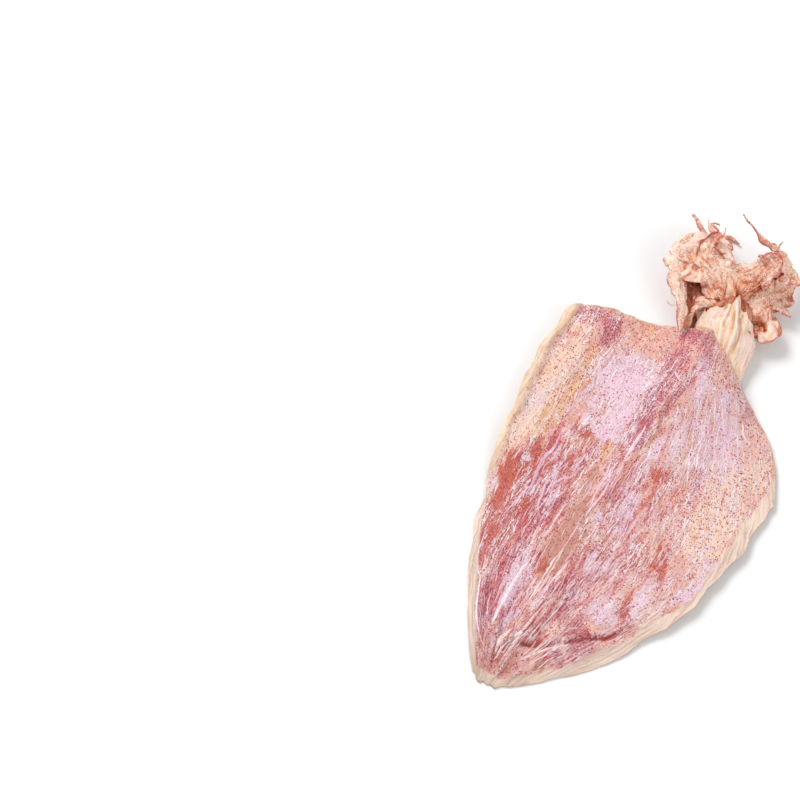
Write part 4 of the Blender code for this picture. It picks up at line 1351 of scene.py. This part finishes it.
def arm_skin():
    """Cream to orange flesh with specks and red along the edges, painted shade in the hollows and folds, and
    painted highlights on the crests.
    """
    skin = Skin("arm_skin")
    place = skin.place()
    collar, fold, hollow_shade = skin.attribute("collar"), skin.attribute("fold"), skin.attribute("hollow_shade")
    share, edge, tone, deep, off, way = (skin.attribute(name) for name in ARM_LABELS)
    soft = skin.noise(place, 0.11, 3.0, 0.5, 0.4)
    grain = skin.noise(place, 1.7, 3.0, 0.8)
    fine = skin.noise(place, 0.6, 4.0, 0.6, 0.3)
    fibres = skin.noise(skin.vector(off * 1.1, way * 0.12, tone), 1.0, 4.0, 0.6, 0.2)
    arm = collar.step(0.0, 1.0, 0.0, 1.0)

    orange = (soft + fine * 0.3 + tone * 0.25).step(0.62, 0.98)
    skin.colour = skin.mix(orange, "arm cream", "arm orange")
    collar_tone = skin.mix(fibres.step(0.40, 0.60), "collar cream", "collar amber")
    collar_tone = skin.mix(soft.step(0.46, 0.60, 0.75), collar_tone, "collar pink")
    skin.paint(collar, collar_tone)
    skin.paint(fibres.step(0.50, 0.66, 0.55), "arm fibre")
    skin.paint(fibres.step(0.48, 0.34, 0.45), "arm groove")
    veil = skin.noise(place, 0.19, 4.0, 0.6, 0.6) + grain * 0.15 + tone.step(0.10, 0.02, 0.05)
    skin.paint(veil.step(0.56, 0.68, 0.60) * arm, "veil")
    skin.paint((grain + fine * 0.6).step(0.78, 0.98, 0.22) * arm, "mottle")

    # Painted shade: darker in the folds, where the skin lies below the skin round it.
    valley_shade = (fold + grain * 0.05).step(0.03, 0.14, 0.80)
    skin.paint(valley_shade, skin.mix(arm, "collar fold shade", "arm fold shade"))
    # Painted highlight: paler on the crests of folds and pleats.
    skin.paint((fold + grain * -0.05).step(-0.05, -0.22, 0.60), "crest")
    veins = skin.noise(place, 0.30, 3.0, 0.7, 0.8).crest(0.010)
    skin.paint(veins * (soft + fine * 0.4).step(0.58, 0.78, 0.75) * arm, "vein")
    rim = (edge * 0.75 + share * 0.30 + fine * 0.5).step(0.94, 1.18)
    skin.paint(rim * arm * 0.80, "arm rim")
    red_tip = share.step(0.62, 0.92, 0.70) * tone.step(0.10, 0.25)
    skin.paint(red_tip * fine.step(0.36, 0.56), "red tip")
    # Painted shade: orange-brown where other skin shuts a point in, darker still on low webs and inside the
    # collar.
    skin.paint((hollow_shade + fine * 0.3 + deep * 0.6).step(0.40, 0.76) * 0.85, "hollow_shade")
    skin.paint((hollow_shade + fine * 0.2 + deep * 0.7).step(0.66, 0.98) * 0.85, "deep hollow")

    dots = skin.dots(skin.ragged(place, 1.1, 1.3), 0.9, 0.40, 0.7)
    skin.paint(dots * (soft + share * 0.3).step(0.50, 0.74, 1.0, 0.10) * arm * 0.60, "arm speck")
    pale = skin.dots(skin.ragged(place, 0.8, 1.9), 1.0, 0.36, 0.45)
    skin.paint(pale * arm * 0.60, "pale speck")
    skin.emboss(fibres + grain * 0.6 + fine * 0.7, 0.6, 0.6 * MM)
    skin.shader.inputs["Coat Weight"].default_value = 0.25
    skin.shader.inputs["Coat Roughness"].default_value = 0.25
    return skin.done(grain.step(0.2, 0.8, 0.55, 0.32), 0.15)


def sucker_skin():
    """Pale cups with a darker pit."""
    skin = Skin("sucker_skin")
    grain = skin.noise(skin.place(), 0.5, 3.0, 0.7)
    pale = skin.mix(grain.step(0.35, 0.65), "cup", "tan cup")
    skin.colour = skin.mix(skin.attribute("tone"), "cup pit", pale)
    return skin.done(0.45, 0.25)


def area_light(name, place, size, power):
    """A round soft light that shines at the object."""
    data = bpy.data.lights.new(name, "AREA")
    data.shape = "DISK"
    data.size = size
    data.energy = power
    light = bpy.data.objects.new(name, data)
    light.location = place
    light.rotation_euler = (-Vector(place)).to_track_quat("-Z", "Y").to_euler()
    bpy.context.scene.collection.objects.link(light)


def stage():
    """A pale floor, a white surround, and two soft lights."""
    size = FLOOR_REACH
    corners = [(-size, -size, 0), (size, -size, 0), (size, size, 0), (-size, size, 0)]
    mesh = bpy.data.meshes.new("floor")
    mesh.from_pydata(corners, [], [(0, 1, 2, 3)])
    floor = bpy.data.objects.new("floor", mesh)
    bpy.context.scene.collection.objects.link(floor)
    paint = bpy.data.materials.new("floor")
    paint.use_nodes = True
    shader = paint.node_tree.nodes["Principled BSDF"]
    shader.inputs["Base Color"].default_value = (FLOOR_TONE, FLOOR_TONE, FLOOR_TONE, 1)
    shader.inputs["Roughness"].default_value = 0.9
    floor.data.materials.append(paint)
    world = bpy.data.worlds.new("surround")
    world.use_nodes = True
    world.node_tree.nodes["Background"].inputs["Color"].default_value = (1, 1, 1, 1)
    world.node_tree.nodes["Background"].inputs["Strength"].default_value = SURROUND_STRENGTH
    bpy.context.scene.world = world
    bpy.context.scene.view_settings.view_transform = "Standard"
    ahead = np.array((-sin(CAMERA_AZIMUTH), cos(CAMERA_AZIMUTH), 0))
    right = np.array((cos(CAMERA_AZIMUTH), sin(CAMERA_AZIMUTH), 0))
    area_light("key", ahead * 0.7 - right * 0.6 + np.array((0, 0, 1.0)), 0.7, KEY_POWER)
    area_light("fill", right * 0.7 - ahead * 0.7 + np.array((0, 0, 0.8)), 1.0, FILL_POWER)


def photo_camera():
    """The camera stands where the photograph's did and looks at the same point."""
    level = cos(CAMERA_ELEVATION)
    back = Vector((sin(CAMERA_AZIMUTH) * level, -cos(CAMERA_AZIMUTH) * level, sin(CAMERA_ELEVATION)))
    data = bpy.data.cameras.new("camera")
    data.lens = LENS_MM
    data.clip_start = 0.01
    camera = bpy.data.objects.new("camera", data)
    camera.location = Vector(CAMERA_TARGET - ORIGIN) + back * CAMERA_DISTANCE
    camera.rotation_euler = (-back).to_track_quat("-Z", "Y").to_euler()
    bpy.context.scene.collection.objects.link(camera)
    bpy.context.scene.camera = camera


def finish_piece(piece, material):
    """Gives a piece its material, hangs it on the root body and hides the solid part that it stands in for.
    """
    piece.data.materials.append(material)
    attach(piece, "root")
    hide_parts("dried_squid")


photo_camera()
stage()
ribbons = {name: ribbon(name) for name in (*ARMS, *TENTACLES)}
mantle_piece = mantle()
finish_piece(mantle_piece, mantle_skin())
finish_piece(shreds(mantle_piece), film_skin())
skin_of_arms = arm_skin()
for piece in head_and_arms(ribbons):
    finish_piece(piece, skin_of_arms)
finish_piece(suckers(ribbons), sucker_skin())
